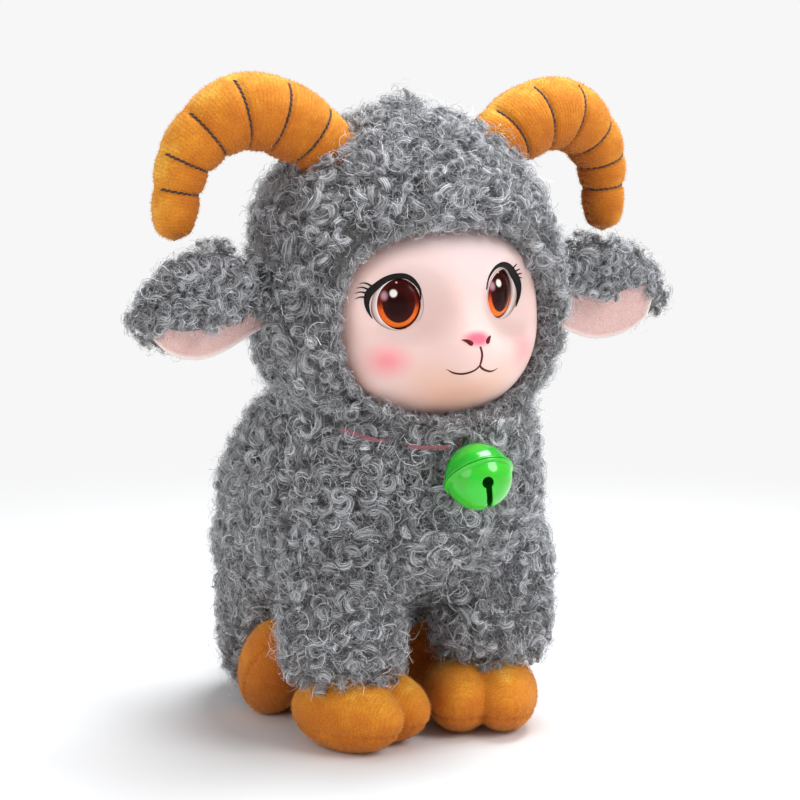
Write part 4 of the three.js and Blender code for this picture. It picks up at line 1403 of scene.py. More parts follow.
# How each row pinches the horn: the depths and reaches of a narrow dip and a wide one
PINCHES = [(0.75, 0.7), (0.35, 2.4)]
PINCH_FADE = 0.5
# Where the horn is thinner than this, its dips are shallower
SHALLOW_RADIUS = 5
HORN_SEAM_DEPTH = 0.55
HORN_SEAM_REACH = 0.1
HORN_PUCKER = 0.22
HORN_PUCKER_LENGTH = 1.9
HORN_PUCKER_REACH = 0.4
HORN_NAP_SPACING = 0.5
HORN_NAP_LENGTH = 0.6
HORN_FILL = 0.9
STITCH_LENGTH = 1.35
STITCH_OVERLAP = 0.25
STITCH_THICKNESS = 0.62
STITCH_LIFT = 0.12
STITCH_BEND = 0.3
STITCH_SLANT = 0.3
STITCH_START = math.radians(12)
STITCH_SPAN = math.radians(150)
STITCH_SIDES = 8
# Each section's place along a stitch and its thickness
STITCH_SHARES = [(-0.5, 0.25), (-0.38, 0.8), (0, 1), (0.38, 0.8), (0.5, 0.25)]


def dip(away, reach):
    """1 at a seam, falling smoothly to nothing beyond its reach."""
    return np.exp(-((away / reach) ** 2))


def horn_line(sign):
    """The horn's middle line, its radius, and the two directions across it at each ring."""
    out, up, back, thickness = np.array(HORN_SHARES, float).T
    x = sign * (HORN_ROOT_OUT + out * HORN_REACH)
    y = back * HORN_SWEEP - HORN_ROOT_FORWARD
    z = HORN_TIP_HEIGHT + up * HORN_RISE
    rows = smooth_rows(np.stack([x, y, z, thickness * HORN_THICKNESS / 2], axis=1), HORN_RINGS)
    ahead = unit(np.gradient(rows[:, :3], axis=0))
    inward = unit(sign * np.cross([0, 1, 0], ahead))
    return rows[:, :3], np.maximum(rows[:, 3], 0), inward, np.cross(ahead, inward)


def horn_object(side, sign):
    middle, radius, inward, beside = horn_line(sign)
    length = np.concatenate([[0], np.cumsum(np.linalg.norm(np.diff(middle, axis=0), axis=1))])
    turn = turns(HORN_SIDES)
    from_seam = np.abs((turn + math.pi) % FULL_TURN - math.pi)
    crest = np.clip((math.pi - from_seam) / PINCH_FADE, 0, 1)
    rows = [np.argmin(np.hypot(middle[:, 0] - sign * x, middle[:, 2] - z)) for x, z in STITCH_PLACES]
    depth = np.zeros((HORN_RINGS, HORN_SIDES))
    for row in rows:
        away = (length - length[row])[:, None]
        depth += sum(deep * dip(away, reach) for deep, reach in PINCHES) * crest
    depth += HORN_SEAM_DEPTH * dip(from_seam, HORN_SEAM_REACH)
    pucker = HORN_PUCKER * np.sin(length * FULL_TURN / HORN_PUCKER_LENGTH)[:, None]
    pucker = pucker * dip(from_seam, HORN_PUCKER_REACH)
    reach = radius[:, None] - (depth + pucker) * np.clip(radius / SHALLOW_RADIUS, 0, 1)[:, None]
    made = tube_object(f"horn_{side}_velour", swept(middle, inward, beside, reach[..., None], turn), VELOUR)
    set_attribute(made, "run", np.repeat(length, HORN_SIDES))
    # Painted light: the velour is drawn darker towards the seam on the horn's inner curve and lighter on the
    # side facing away from it
    set_attribute(made, "light", np.tile(from_seam / math.pi, HORN_RINGS))
    dress(made, "root", "velour", f"horn_{side}", fill=HORN_FILL)
    stitches = []
    for row in rows:
        ahead = np.cross(inward[row], beside[row])
        count = round(STITCH_SPAN * reach[row].mean() / STITCH_LENGTH)
        for across in (beside[row], -beside[row]):
            for angle in STITCH_START + STITCH_SPAN * (np.arange(count) + 0.5) / count:
                out = inward[row] * math.cos(angle) + across * math.sin(angle)
                along = across * math.cos(angle) - inward[row] * math.sin(angle)
                lift = reach[row, round(angle / FULL_TURN * HORN_SIDES)] + STITCH_LIFT
                stitches.append(stitch(middle[row] + out * lift, unit(along + STITCH_SLANT * ahead), out))
    dress(closed_object(f"horn_{side}_stitches", *joined(stitches), STITCH), "root", "velour")
    return made


def stitch(centre, along, out):
    """A short fat thread, given by its centre, the way it runs and the way out from the cloth."""
    across = np.cross(along, out)
    turn = turns(STITCH_SIDES)[:, None]
    rings = []
    for share, thick in STITCH_SHARES:
        middle = centre + along * share * (STITCH_LENGTH + STITCH_OVERLAP) - out * STITCH_BEND * share**2
        rings.append(middle + thick * STITCH_THICKNESS / 2 * (across * np.cos(turn) + out * np.sin(turn)))
    return prism(rings)


# Hooves

HOOF_WIDTH = 29
HOOF_LENGTH = 32
HOOF_HEIGHT = 19
TOE_WIDTH = 18
FRONT_HOOF_SPACING = 34
FRONT_HOOF_FORWARD = 58
FRONT_TOE_IN = 25
HIND_HOOF_SPACING = 41
HIND_HOOF_FORWARD = 27
HIND_TOE_OUT = 8
HIND_PITCH = 52
HOOF_VOXEL = 0.55
HOOF_SEAM_HEIGHT = -3.4
HOOF_SEAM_DEPTH = 0.6
HOOF_SEAM_REACH = 0.45
HOOF_PUCKER = 0.16
HOOF_PUCKER_LENGTH = 2.1
HOOF_PUCKER_REACH = 1.6
HOOF_NAP_SPACING = 0.55
HOOF_NAP_LENGTH = 0.55
HOOF_BRUSH = (0, -0.3, -0.2)
HOOF_FILL = 0.9
HOOF_SMOOTHING = 0.5
HOOF_SMOOTHINGS = 6
ELLIPSOID_SECTIONS = 25


def ellipsoid_parts(centre, width, depth, height):
    form = ellipsoid_form(centre, width, depth, height, ELLIPSOID_SECTIONS)
    return form.mesh_parts(form.points)


def hoof_object(name, node, sign, spacing, forward, turn, pitch, seed):
    """A hoof of two plump toes with a seam round its lower third."""
    spread = (HOOF_WIDTH - TOE_WIDTH) / 2
    toes = [ellipsoid_parts((toe * spread, 0, 0), TOE_WIDTH, HOOF_LENGTH, HOOF_HEIGHT) for toe in (1, -1)]
    made = mesh_object(name, *joined(toes), VELOUR)
    remesh = made.modifiers.new("remesh", "REMESH")
    remesh.mode = "VOXEL"
    remesh.voxel_size = HOOF_VOXEL * MM
    soften = made.modifiers.new("soften", "SMOOTH")
    soften.factor = HOOF_SMOOTHING
    soften.iterations = HOOF_SMOOTHINGS
    finished_mesh(made)
    points = mesh_points(made)
    normals = vertex_values(made, "normal")
    from_seam = points[:, 2] - HOOF_SEAM_HEIGHT
    around = np.arctan2(points[:, 0], -points[:, 1]) * HOOF_WIDTH / 2
    seam = HOOF_SEAM_DEPTH * dip(from_seam, HOOF_SEAM_REACH)
    pucker = HOOF_PUCKER * np.sin(around * FULL_TURN / HOOF_PUCKER_LENGTH) * dip(from_seam, HOOF_PUCKER_REACH)
    points -= normals * (seam + pucker)[:, None]
    set_attribute(made, "run", points[:, 1])
    # Painted light: the velour is drawn lighter where it faces up and darker where it faces down
    set_attribute(made, "light", 0.5 + 0.35 * np.clip(normals[:, 2], -1, 1))
    matrix = turned(sign * turn, "Z") @ turned(-pitch, "X")
    lean = math.radians(pitch)
    rise = math.hypot(HOOF_HEIGHT / 2 * math.cos(lean), HOOF_LENGTH / 2 * math.sin(lean)) - FLAT_DEPTH
    points = above_floor(points @ matrix.T + np.array([sign * spacing / 2, -forward, rise]))
    made.data.vertices.foreach_set("co", (points * MM).astype(np.float32).ravel())
    made.data.update()
    face_out(made)
    dress(made, "root", "velour", node, fill=HOOF_FILL)
    nap_object(f"{name}_nap", made, seed, HOOF_NAP_SPACING, HOOF_NAP_LENGTH, NAP, HOOF_BRUSH)
    return made


# Ears

EAR_LENGTH = 36
EAR_WIDTH = 28
EAR_THICKNESS = 9
EAR_ROOT_OUT = 39.6
EAR_ROOT_FORWARD = 50
EAR_ROOT_HEIGHT = 113
EAR_ROOT = np.array([EAR_ROOT_OUT, -EAR_ROOT_FORWARD, EAR_ROOT_HEIGHT])
EAR_DROOP = 10
EAR_LEAN = 14
EAR_TURN = 8
EAR_MATRIX = turned(-EAR_TURN, "Z") @ turned(EAR_DROOP, "Y") @ turned(EAR_LEAN, "X")
# Each section's way along, width and thickness
EAR_SHARES = [
    (-0.1, 0, 0), (-0.08, 0.4, 0.4), (0.08, 0.68, 0.6), (0.28, 0.93, 0.92), (0.48, 1, 1), (0.68, 0.9, 0.94),
    (0.85, 0.66, 0.74), (0.96, 0.34, 0.42), (1, 0, 0),
]
EAR_GRID = (64, 72)
EAR_CLOTH_DEPTH = 2.1
EAR_PILE_DEPTH = 1.9
EAR_CURL_SPACING = 2.25
EAR_CURL_START = -1.5
# The least height of the ear's curls and what the patches add, the patches' size, and chance's share
EAR_CURL_HEIGHTS = (2.8, 2.2)
EAR_LUMP = 8.0
EAR_SPREAD = (0.6, 1.2)
EAR_CURL_SCALE = 0.78
EAR_STRAYS = 3.0
EAR_STRAY_LENGTH = 3.0
# Towards the ear's tip the curls get shorter by this share, from the first of these places over the second
EAR_TIP_SHORTER = 0.62
EAR_TIP_START = 10
EAR_TIP_REACH = 22
LINING_FRONT = 1.8
LINING_BED = -0.9
LINING_BACK = -0.6
LINING_START = -1.5
LINING_END = 31
LINING_UNDER_FUR = 1.6
LINING_ROUNDING = 1.1
LINING_EDGE_DROP = 0.4
LINING_HOLLOW = 0.5
LINING_HOLLOW_FADE = 8
LINING_LEAST = 0.2
LINING_BED_FADE = 2
LINING_ROWS = 48
LINING_COLUMNS = 24
LINING_NAP_SPACING = 0.6
LINING_NAP_LENGTH = 0.5
# Where no curls grow: in front of this place, and this far above and below the lining
BARE_BACK = 0.6
BARE_ABOVE = 0.2
BARE_BELOW = 1.5
EAR_FILL = 0.6
# The lining's edges, along the ear and up it: where the fur covers each lining from above, and the lower edge
LINING_TOPS = {
    -1: [(-2, -6.5), (6, -6.2), (12, -5.4), (20, -4.8), (26.5, -3.4), (31, -4.4)],
    1: [(-2, -4), (8, -2.6), (13.5, -1), (19, -2.2), (21.5, 0.8), (25, 3.2), (28.5, 2), (31, -1)],
}
LINING_LOWER = [
    (-2, -8.5), (5.4, -10.7), (10.3, -12.4), (15.2, -13.3), (19, -13.2), (22.8, -12), (25, -10.9),
    (27.7, -9), (30, -6.2), (31, -4.6),
]


def ear_form():
    """An ear about its root, out along X, with its front facing -Y."""
    along, width, thickness = np.array(EAR_SHARES).T
    none = np.zeros(len(along))
    centres = np.stack([along * EAR_LENGTH, none, none], axis=1)
    across = np.stack([none, thickness * EAR_THICKNESS / 2, none], axis=1)
    return Form(centres, across, np.stack([none, none, width * EAR_WIDTH / 2], axis=1), 2.0, *EAR_GRID)


def place_ear(points, sign, root=EAR_ROOT):
    """Points about the ear's root, for the left ear, brought to where either ear is."""
    return (points @ EAR_MATRIX.T + root) * np.array([sign, 1, 1])


def bend_ear(piece):
    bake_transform(piece)


def lining_edges(x, sign):
    top = np.interp(x, *np.array(LINING_TOPS[sign], float).T)
    low = np.interp(x, *np.array(LINING_LOWER, float).T)
    return np.maximum(top, low + LINING_LEAST), low


def ear_cloth(form, side, sign):
    """The fabric under the curls, pressed flat behind the lining."""
    skin = form.inset(EAR_CLOTH_DEPTH)
    x, y, z = np.moveaxis(skin, -1, 0)
    top, _ = lining_edges(x, sign)
    lower = np.clip((top - z) / LINING_BED_FADE, 0, 1) * np.clip(LINING_END - x, 0, 1)
    skin[..., 1] = np.where(y < LINING_BED, y * (1 - lower) + LINING_BED * lower, y)
    vertices, faces = form.mesh_parts(skin)
    made = closed_object(f"ear_{side}_cloth", place_ear(vertices, sign), faces, PILE_BASE)
    return dress(made, None, "pile", f"ear_outer_{side}", fill=EAR_FILL)


def ear_lining(side, sign):
    x = np.linspace(LINING_START, LINING_END, LINING_ROWS)[:, None]
    v = np.linspace(0, 1, LINING_COLUMNS)[None]
    top, low = lining_edges(x, sign)
    top = top + LINING_UNDER_FUR
    z = top - v * (top - low)
    edge = np.clip(np.minimum((z - low) / LINING_ROUNDING, (LINING_END - x) / LINING_ROUNDING), 0, 1)
    hollow = LINING_HOLLOW * np.sin(np.pi * v) * np.clip((LINING_END - x) / LINING_HOLLOW_FADE, 0, 1)
    front = np.stack([x + 0 * v, -LINING_FRONT + hollow - LINING_EDGE_DROP * (1 - edge**2), z], axis=-1)
    under = front[:, ::-1].copy()
    under[..., 1] = LINING_BACK
    made = tube_object(f"ear_{side}_lining", place_ear(np.concatenate([front, under], axis=1), sign), LINING)
    set_attribute(made, "edge", np.concatenate([1 - edge**2, np.zeros_like(edge)], axis=1))
    return dress(made, None, "lining", f"ear_lining_{side}")


def ear_objects(side, sign, seed):
    form = ear_form()
    cloth = ear_cloth(form, side, sign)
    lining = ear_lining(side, sign)
    rng = np.random.default_rng(seed)
    points, outward = form.roots(EAR_CURL_SPACING, EAR_PILE_DEPTH, rng)
    x, y, z = points.T
    top, low = lining_edges(x, sign)
    front = (y < BARE_BACK) & (z < top + BARE_ABOVE) & (z > low - BARE_BELOW) & (x < LINING_END)
    kept = ~front & (x > EAR_CURL_START)
    points, outward = points[kept], outward[kept]
    tip = np.clip((points[:, 0] - EAR_TIP_START) / EAR_TIP_REACH, 0, 1)
    short, more = EAR_CURL_HEIGHTS
    tall = short + more * lumpy(points, seed, EAR_LUMP) * rng.uniform(*EAR_SPREAD, len(points))
    tall *= 1 - EAR_TIP_SHORTER * tip
    pieces = pile_pieces(
        f"ear_{side}", place_ear(points, sign), place_ear(outward, sign, 0), tall, seed + 1, None,
        EAR_CURL_SCALE, EAR_STRAYS, EAR_STRAY_LENGTH,
    )
    nap = nap_object(
        f"ear_{side}_nap", lining, seed + 2, LINING_NAP_SPACING, LINING_NAP_LENGTH, LINING_NAP,
        (sign * 0.4, -0.2, -0.3), None, "lining",
    )
    for piece in (cloth, lining, nap, *pieces):
        bend_ear(piece)


# Neck cord: a closed ring of two twisted strands

CORD_WIDTH = 66.5
CORD_DEPTH = 59
CORD_FRONT = 80.3
CORD_FRONT_HEIGHT = 76.4
CORD_TILT = math.radians(12)
CORD_SINK = 6.5
CORD_RISE = 1.5
# How much of the cord lies on top of the pile, by its place across the lamb, and from which place forward
CORD_SHOWN = [
    (-28.5, 0), (-27, 1), (-20.5, 1), (-18.5, 0.1), (-15, 0.1), (-13.5, 1), (-5, 1), (-3.5, 0.4), (0, 0.4),
    (4, 0),
]
CORD_SHOWN_FROM = -60
CORD_SAG = 1.1
CORD_ASIDE = 28
STRAND_THICKNESS = 0.56
STRAND_OFFSET = 0.42
STRAND_TWISTS = 90
STRAND_STEPS = 1080
STRAND_SIDES = 8


def across_line(line):
    """The two directions across a closed line at each of its points."""
    ahead = unit(np.roll(line, -1, axis=0) - np.roll(line, 1, axis=0))
    out = unit(np.cross(ahead, [0, 0, 1]))
    return out, np.cross(out, ahead)


def neck_cord():
    turn = turns(STRAND_STEPS)
    back = CORD_DEPTH / 2 * (1 - np.cos(turn))
    y = back * math.cos(CORD_TILT) - CORD_FRONT
    z = CORD_FRONT_HEIGHT + back * math.sin(CORD_TILT)
    line = np.stack([CORD_WIDTH / 2 * np.sin(turn), y, z], axis=-1)
    shown = np.interp(line[:, 0], *np.array(CORD_SHOWN, float).T) * (line[:, 1] < CORD_SHOWN_FROM)
    inward = (line.mean(axis=0) - line) * np.array([1, 1, 0])
    line += inward * (1 - shown)[:, None] * CORD_SINK / (CORD_DEPTH / 2)
    aside = np.clip(-line[:, 0] / CORD_ASIDE, 0, 1) * (line[:, 1] < CORD_SHOWN_FROM)
    line[:, 2] += CORD_RISE * aside - CORD_SAG * np.sin(math.pi * aside)
    out, up = across_line(line)
    strands = []
    for start in (0, math.pi):
        twist = (turn * STRAND_TWISTS + start)[:, None]
        strand = line + (out * np.cos(twist) + up * np.sin(twist)) * STRAND_THICKNESS * STRAND_OFFSET
        strand = swept(strand, *across_line(strand), STRAND_THICKNESS / 2, turns(STRAND_SIDES))
        strands.append((strand.reshape(-1, 3), grid_faces(STRAND_STEPS, STRAND_SIDES, closed_rows=True)))
    dress(closed_object("neck_thread", *joined(strands), THREAD), "root", "cord", "neck_cord")


# Bell, made about its loop with its weight along -Z, then tilted

BELL_DIAMETER = 15.8
BELL_RADIUS = BELL_DIAMETER / 2
BELL_WALL = 0.6
BELL_FLANGE = 0.6
BELL_GAP = 0.15
BELL_TILT = 40
BELL_SIDES = 96
BELL_RINGS = 40
# The flange's section: each point's way out from the rim and its height over the underside
FLANGE_SECTION = [(-0.5, 0.53), (-0.16, 0.45), (-0.03, 0.37), (0, 0.2), (-0.06, 0.04), (-0.2, 0)]
# The bell's outer side starts at this rise, over the flange
OUTER_START = 0.1
LOOP_RADIUS = 1.5
LOOP_WIRE = 0.8
LOOP_SINK = 0.5
LOOP_GRID = (64, 16)
SLOT_WIDTH = 1.5
SLOT_HOLE = 2.8
SLOT_HOLE_SIDES = 40
SLOT_REACH = 50
SLOT_TURN = -18
SLOT_TOOL_DEPTH = BELL_RADIUS + 4
BALL_DIAMETER = 4.2
BALL_LIFT = 0.3
BELL_DROP = BELL_RADIUS + LOOP_RADIUS - LOOP_SINK


def place_bell(points):
    return points @ turned(-BELL_TILT, "X").T + np.array([0, -CORD_FRONT, CORD_FRONT_HEIGHT])


BELL_MIDDLE = place_bell(np.array([[0.0, 0.0, -BELL_DROP]]))[0]


def bell_half(name, node, up, material, tools=()):
    """A half of the bell: a closed section of radii and heights, turned about the bell's axis."""
    rise = np.radians(np.linspace(0, 89.2, BELL_RINGS))
    outer = rise[rise > OUTER_START][::-1]
    section = [
        (BELL_RADIUS - BELL_WALL) * np.column_stack([np.cos(rise), np.sin(rise)]),
        BELL_RADIUS * np.column_stack([np.cos(outer), np.sin(outer)]),
        np.array([BELL_RADIUS + BELL_FLANGE, 0]) + FLANGE_SECTION,
    ]
    radius, height = np.concatenate(section).T[..., None]
    turn = turns(BELL_SIDES)
    level = up * (height + BELL_GAP / 2) - BELL_DROP
    points = np.stack(np.broadcast_arrays(radius * np.cos(turn), radius * np.sin(turn), level), axis=-1)
    made = tube_object(name, place_bell(points), material, closed=True)
    cut_away(made, tools)
    dress(made, "bell", "bell", node)


def slot_tools():
    """The cup's slot and the round hole at each of its ends."""
    reach = BELL_RADIUS * math.sin(math.radians(SLOT_REACH))
    half = SLOT_WIDTH / 2
    slot = np.array([(-half, -reach), (half, -reach), (half, reach), (-half, reach)])
    turn = turns(SLOT_HOLE_SIDES)
    hole = np.stack([np.cos(turn), np.sin(turn)], axis=1) * SLOT_HOLE / 2
    tools = []
    for outline, lean in ((slot, 0), (hole, SLOT_REACH), (hole, -SLOT_REACH)):
        matrix = turned(SLOT_TURN, "Z") @ turned(lean, "X")
        ends = []
        for z in (-SLOT_TOOL_DEPTH, 0):
            end = np.column_stack([outline, np.full(len(outline), z)]) @ matrix.T
            ends.append(place_bell(end - np.array([0, 0, BELL_DROP])))
        tools.append(prism(ends))
    return tools


def bell_objects():
    bell_half("bell_upper", "bell_cap", 1, DARK_GREEN)
    bell_half("bell_lower", "bell_cup", -1, GREEN, slot_tools())
    around, turn = (turns(count) for count in LOOP_GRID)
    out = np.stack([0 * around, np.cos(around), np.sin(around)], axis=1)
    loop = swept(out * LOOP_RADIUS, out, np.array([[1.0, 0, 0]]), LOOP_WIRE / 2, turn)
    dress(tube_object("bell_hanger", place_bell(loop), LOOP_GREEN, closed=True), "bell", "bell", "bell_loop")
    low = BELL_MIDDLE - np.array([0, 0, BELL_RADIUS - BELL_WALL - BALL_DIAMETER / 2 - BALL_LIFT])
    ball = ellipsoid_parts(low, BALL_DIAMETER, BALL_DIAMETER, BALL_DIAMETER)
    dress(closed_object("loose_ball", *ball, STEEL), "ball", "steel", "bell_ball")


# Pile over the body, kept clear of the hard and velour pieces

FORMS = {
    "torso": torso,
    "head": head,
    "leg_left": legs[1],
    "leg_right": legs[-1],
    "haunch_left": haunches[1],
    "haunch_right": haunches[-1],
    "tail": tail,
}
TREES = {name: form.tree() for name, form in FORMS.items()}
SUNK = 1.0
BELL_ROOM = 0.8
# A curl's crown is taken to lie at this share of its height
CROWN_SHARE = 0.8
# How far a crown and a root may lie inside a solid piece
CROWN_SUNK = 0.3
ROOT_SUNK = 0.6
LOWEST_ROOT = FLOOR_CLEARANCE + 0.6
# How far out of the face's middle the fur starts, and how much further out at the lamb's right temple
CROWN_MARGIN = (1.0, 0.14)
ROOT_MARGIN = (1.03, 0.08)
# A temple's middle, out and up, and its half sizes
TEMPLE_MIDDLE = (23, 121)
TEMPLE_SIZE = (12, 11)
# Curls just under the face grow forward and a little down, to fill the room below it without hiding it
CHIN_FORWARD = 60
CHIN_HEIGHT = 82
CHIN_REACH = 8
CHIN_DROOP = 0.35
# A curl's least share of the full height, what the patches of longer pile add, and what chance adds
TALL_SHARES = (0.62, 0.3, 0.2)
# How much of its height a curl keeps beside another piece: the first of these that is clear of it
HEIGHT_SHARES = (1, 0.8, 0.6, 0.45)
# The small tail carries smaller curls that stand closer
TAIL_PILE_DEPTH = 2.3
TAIL_CURL_HEIGHT = 3.4
TAIL_CURL_SPACING = 1.9
TAIL_CURL_SCALE = 0.8
FACE_FUR_SPACING = 2.3
FACE_FUR_CLOSER = 0.85
FACE_FUR_PLACES = 6000
FACE_FUR_OUTNESS = 1.05
FACE_FUR_INWARD = 0.8
FACE_FUR_FORWARD = 0.75
# The least height of the fur at the face, and what the brow, the lamb's left temple and chance add
FACE_FUR_HEIGHTS = (1.3, 0.6, 4.6, 0.8)
# How much shorter it is at the other temple
FACE_FUR_SHORTER = 0.6
FACE_FUR_SCALE = 0.72
FACE_FUR_STRAYS = 0.6
FACE_FUR_STRAY_LENGTH = 2.4
RAY_START = -200
RAY_OUTNESS = 1.06


def temple(points, sign):
    """How near each point is to a temple, from 0 to 1."""
    across = (points[:, 0] * sign - TEMPLE_MIDDLE[0]) / TEMPLE_SIZE[0]
    up = (points[:, 2] - TEMPLE_MIDDLE[1]) / TEMPLE_SIZE[1]
    return np.clip(1 - np.hypot(across, up), 0, 1)


def over_face(points, margin, combed):
    """Which points lie over the face, seen along the hood's opening."""
    out = face_outness(points[:, 0] / flare(-points[:, 1]), points[:, 2])
    return out < margin + combed * temple(points, -1)


def crowns_clear(points, outward, tall, solids):
    """Which curls keep out of the face, the solid pieces and the bell."""
    crowns = points + outward * tall[:, None] * CROWN_SHARE
    low = points + outward
    keep = ~(over_face(crowns, *CROWN_MARGIN) & (crowns[:, 1] < -FACE_RIM_FORWARD))
    for places in (crowns, low):
        keep &= np.linalg.norm(places - BELL_MIDDLE, axis=1) > BELL_RADIUS + BELL_ROOM
    for tree in solids:
        keep &= (depth_inside(tree, crowns) < CROWN_SUNK) & (depth_inside(tree, low) < ROOT_SUNK)
    return keep


def body_pile(name, seed, solids, height=CURL_HEIGHT, spacing=CURL_SPACING, depth=PILE_DEPTH, scale=1.0):
    rng = np.random.default_rng(seed)
    points, outward = FORMS[name].roots(spacing, depth, rng)
    keep = points[:, 2] > LOWEST_ROOT
    for other, tree in TREES.items():
        if other != name:
            keep &= depth_inside(tree, points) < PILE_DEPTH + SUNK
    if name == "head":
        keep &= ~((points[:, 1] < -HEAD_FORWARD) & over_face(points, *ROOT_MARGIN))
    points, outward = points[keep], outward[keep]
    x, y, z = points.T
    chin = (np.abs(x) < FACE_WIDTH / 2) & (y < -CHIN_FORWARD)
    chin &= (z > CHIN_HEIGHT - CHIN_REACH) & (z < CHIN_HEIGHT)
    outward[chin] = unit(outward[chin] * np.array([1, 1, 0]) + np.array([0, 0, -CHIN_DROOP]))
    least, patches, chance = TALL_SHARES
    tall = height * (least + patches * lumpy(points, seed) + chance * rng.random(len(points)))
    fitting = np.zeros(len(points))
    for share in HEIGHT_SHARES:
        clear = crowns_clear(points, outward, tall * share, solids)
        fitting = np.where((fitting == 0) & clear, share, fitting)
    keep = fitting > 0
    pile_pieces(name, points[keep], outward[keep], (tall * fitting)[keep], seed + 1, scale=scale)


def face_edge_pile(seed):
    """Smaller curls on the wall of the hood's opening, turned towards the face."""
    rng = np.random.default_rng(seed)
    x, z = face_outline(FACE_FUR_OUTNESS, rng.uniform(0, FULL_TURN, FACE_FUR_PLACES))
    points = []
    outward = []
    for a, b, share in zip(x, z, rng.random(FACE_FUR_PLACES)):
        start = Vector((a * RAY_OUTNESS, RAY_START, b))
        hits = [TREES[name].ray_cast(start, Vector((0, 1, 0)))[0] for name in ("head", "torso")]
        found = [hit.y for hit in hits if hit is not None]
        if found:
            y = min(found) + PILE_DEPTH
            y = y + share * (-FACE_RIM_FORWARD - OPENING_STRAIGHT / 2 - y)
            a = a * flare(-y)
            points.append((a, y, b))
            toward = unit(np.array([-a, 0, FACE_CENTRE_HEIGHT - b]))
            outward.append(unit(toward * FACE_FUR_INWARD + np.array([0, -FACE_FUR_FORWARD, 0])))
    kept = thin_out(np.array(points), FACE_FUR_SPACING * FACE_FUR_CLOSER, rng)
    points, outward = np.array(points)[kept], np.array(outward)[kept]
    above = np.clip((points[:, 2] - FACE_CENTRE_HEIGHT) / (FACE_HEIGHT / 2), 0, 1)
    least, brow, long_temple, chance = FACE_FUR_HEIGHTS
    tall = least + brow * above**2 + long_temple * temple(points, 1) + chance * rng.random(len(points))
    tall *= 1 - FACE_FUR_SHORTER * temple(points, -1)
    pile_pieces(
        "face_edge", points, outward, tall, seed + 1, scale=FACE_FUR_SCALE, strays=FACE_FUR_STRAYS,
        reach=FACE_FUR_STRAY_LENGTH,
    )


# Camera, stage and light

AIM = Vector((-0.7, -48.0, 83.5)) * MM
CAMERA_TURN = -28.0
CAMERA_RISE = 7.2
CAMERA_DISTANCE = 520 * MM
CAMERA_LENS = 93.6
CAMERA_REACH = 20
SENSOR = 36.0
# Each lamp's turn and rise in degrees, its distance and size in metres, its power and its colour
LAMPS = {
    "key": (30, 34, 0.75, 0.42, 3.1, (0.98, 0.985, 1.0)),
    "fill": (-76, 22, 0.8, 0.6, 1.9, (1.0, 0.97, 0.94)),
    "top": (95, 74, 0.8, 0.5, 8.2, (0.92, 0.96, 1.0)),
}
FLOOR_REACH = 3000
STUDIO_WHITE = (0.93, 0.93, 0.93)


def aimed(name, data, turn, rise, distance):
    """A camera or a lamp that looks at the aim, its direction from there given in degrees."""
    turn, rise = math.radians(turn), math.radians(rise)
    way = Vector((math.sin(turn) * math.cos(rise), -math.cos(turn) * math.cos(rise), math.sin(rise)))
    made = add_object(name, data)
    made.location = AIM + way * distance
    made.rotation_euler = way.to_track_quat("Z", "Y").to_euler()
    return made


def camera():
    data = bpy.data.cameras.new("camera")
    data.lens = CAMERA_LENS
    data.sensor_width = SENSOR
    data.clip_end = CAMERA_REACH
    bpy.context.scene.camera = aimed("camera", data, CAMERA_TURN, CAMERA_RISE, CAMERA_DISTANCE)


def lights():
    for name, (turn, rise, distance, size, power, color) in LAMPS.items():
        data = bpy.data.lights.new(name, "AREA")
        data.shape = "DISK"
        data.size = size
        data.energy = power
        data.color = color
        aimed(name, data, turn, rise, distance)


def one_of(nodes, first, *others):
    """1 for the kinds of ray that are named, and 0 for the rest."""
    path = nodes.node("ShaderNodeLightPath").outputs
    seen = path[first]
    for other in others:
        seen = nodes.math("MAXIMUM", seen, path[other])
    return seen


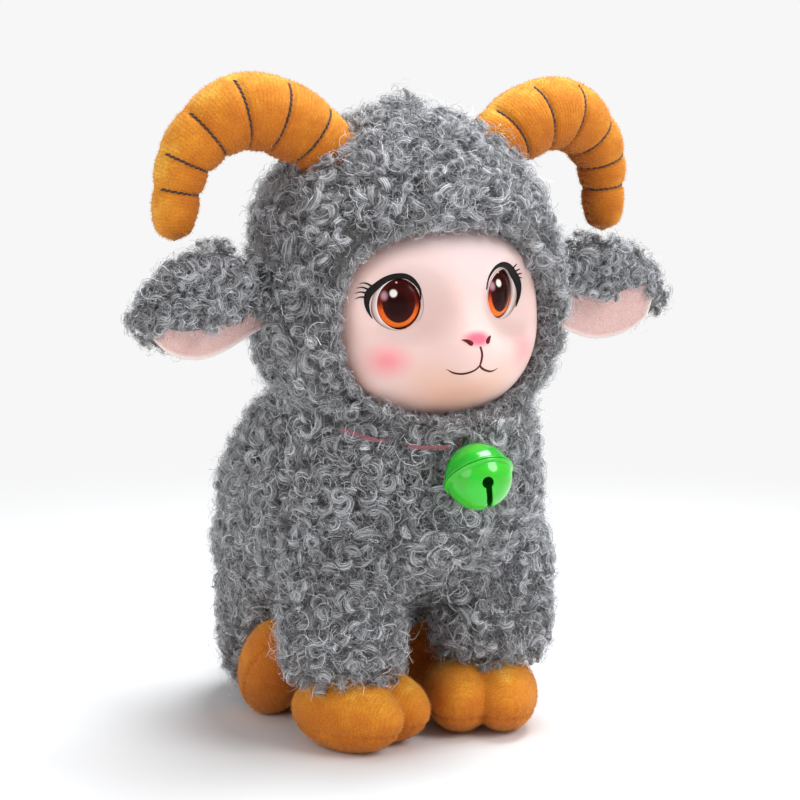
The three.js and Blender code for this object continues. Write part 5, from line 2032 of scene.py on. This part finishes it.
def stage():
    """A pale floor that runs out into the white studio round it."""
    shader = Shader("floor", 0.9, (0.82, 0.81, 0.8))
    seen = one_of(shader, "Is Camera Ray", "Is Glossy Ray", "Is Transmission Ray")
    far = shader.between(shader.vector("LENGTH", shader.place(), output="Value"), 0.1, 0.42)
    white = shader.fill(shader.node("ShaderNodeEmission"), ("Color",), (STUDIO_WHITE,))["Emission"]
    shares = (shader.math("MULTIPLY", seen, far), shader.surface.outputs["BSDF"], white)
    both = shader.fill(shader.node("ShaderNodeMixShader"), ("Fac", 1, 2), shares)["Shader"]
    shader.link(both, shader.tree.nodes["Material Output"].inputs["Surface"])
    size = FLOOR_REACH
    corners = [(-size, -size, 0), (size, -size, 0), (size, size, 0), (-size, size, 0)]
    mesh_object("floor", corners, [(0, 1, 2, 3)], shader.material)
    world = bpy.data.worlds.new("studio")
    bpy.context.scene.world = world
    world.use_nodes = True
    nodes = Nodes(world.node_tree)
    color = nodes.mix(one_of(nodes, "Is Camera Ray", "Is Transmission Ray"), (0.4, 0.405, 0.42), STUDIO_WHITE)
    nodes.link(color, nodes.tree.nodes["Background"].inputs["Color"])


def build():
    camera()
    stage()
    lights()
    hood = cover_object("hood_cloth", head, "head_cover", "head_stuffing")
    cut_away(hood, [face_opening()])
    chest = cover_object("torso_cloth", torso, "torso_cover", "torso_stuffing", "pellet_bag")
    cut_away(chest, [face_opening()])
    for side, sign in SIDES:
        cover_object(f"front_leg_{side}_cloth", legs[sign], f"front_leg_{side}")
        cover_object(f"haunch_{side}_cloth", haunches[sign], f"haunch_{side}")
    cover_object("tail_cloth", tail, "tail", depth=TAIL_PILE_DEPTH)
    face_object()
    face_details()
    solids = []
    for number, (side, sign) in enumerate(SIDES):
        horn = horn_object(side, sign)
        brush = (sign * 0.2, 0, -0.2)
        nap_object(f"horn_{side}_nap", horn, 50 + number, HORN_NAP_SPACING, HORN_NAP_LENGTH, NAP, brush)
        front = hoof_object(
            f"hoof_front_{side}", f"front_hoof_{side}", sign, FRONT_HOOF_SPACING, FRONT_HOOF_FORWARD,
            -FRONT_TOE_IN, 0, 60 + number,
        )
        hind = hoof_object(
            f"hoof_hind_{side}", f"hind_hoof_{side}", sign, HIND_HOOF_SPACING, HIND_HOOF_FORWARD,
            HIND_TOE_OUT, HIND_PITCH, 70 + number,
        )
        solids += [object_tree(horn), object_tree(front), object_tree(hind)]
        ear_objects(side, sign, 80 + 5 * number)
    neck_cord()
    bell_objects()
    body_pile("head", 11, solids)
    body_pile("torso", 13, solids)
    for number, (side, sign) in enumerate(SIDES):
        body_pile(f"leg_{side}", 20 + 2 * number, solids)
        body_pile(f"haunch_{side}", 30 + 2 * number, solids)
    body_pile("tail", 40, solids, TAIL_CURL_HEIGHT, TAIL_CURL_SPACING, TAIL_PILE_DEPTH, TAIL_CURL_SCALE)
    face_edge_pile(45)


bpy.context.scene.view_settings.view_transform = "Standard"
build()
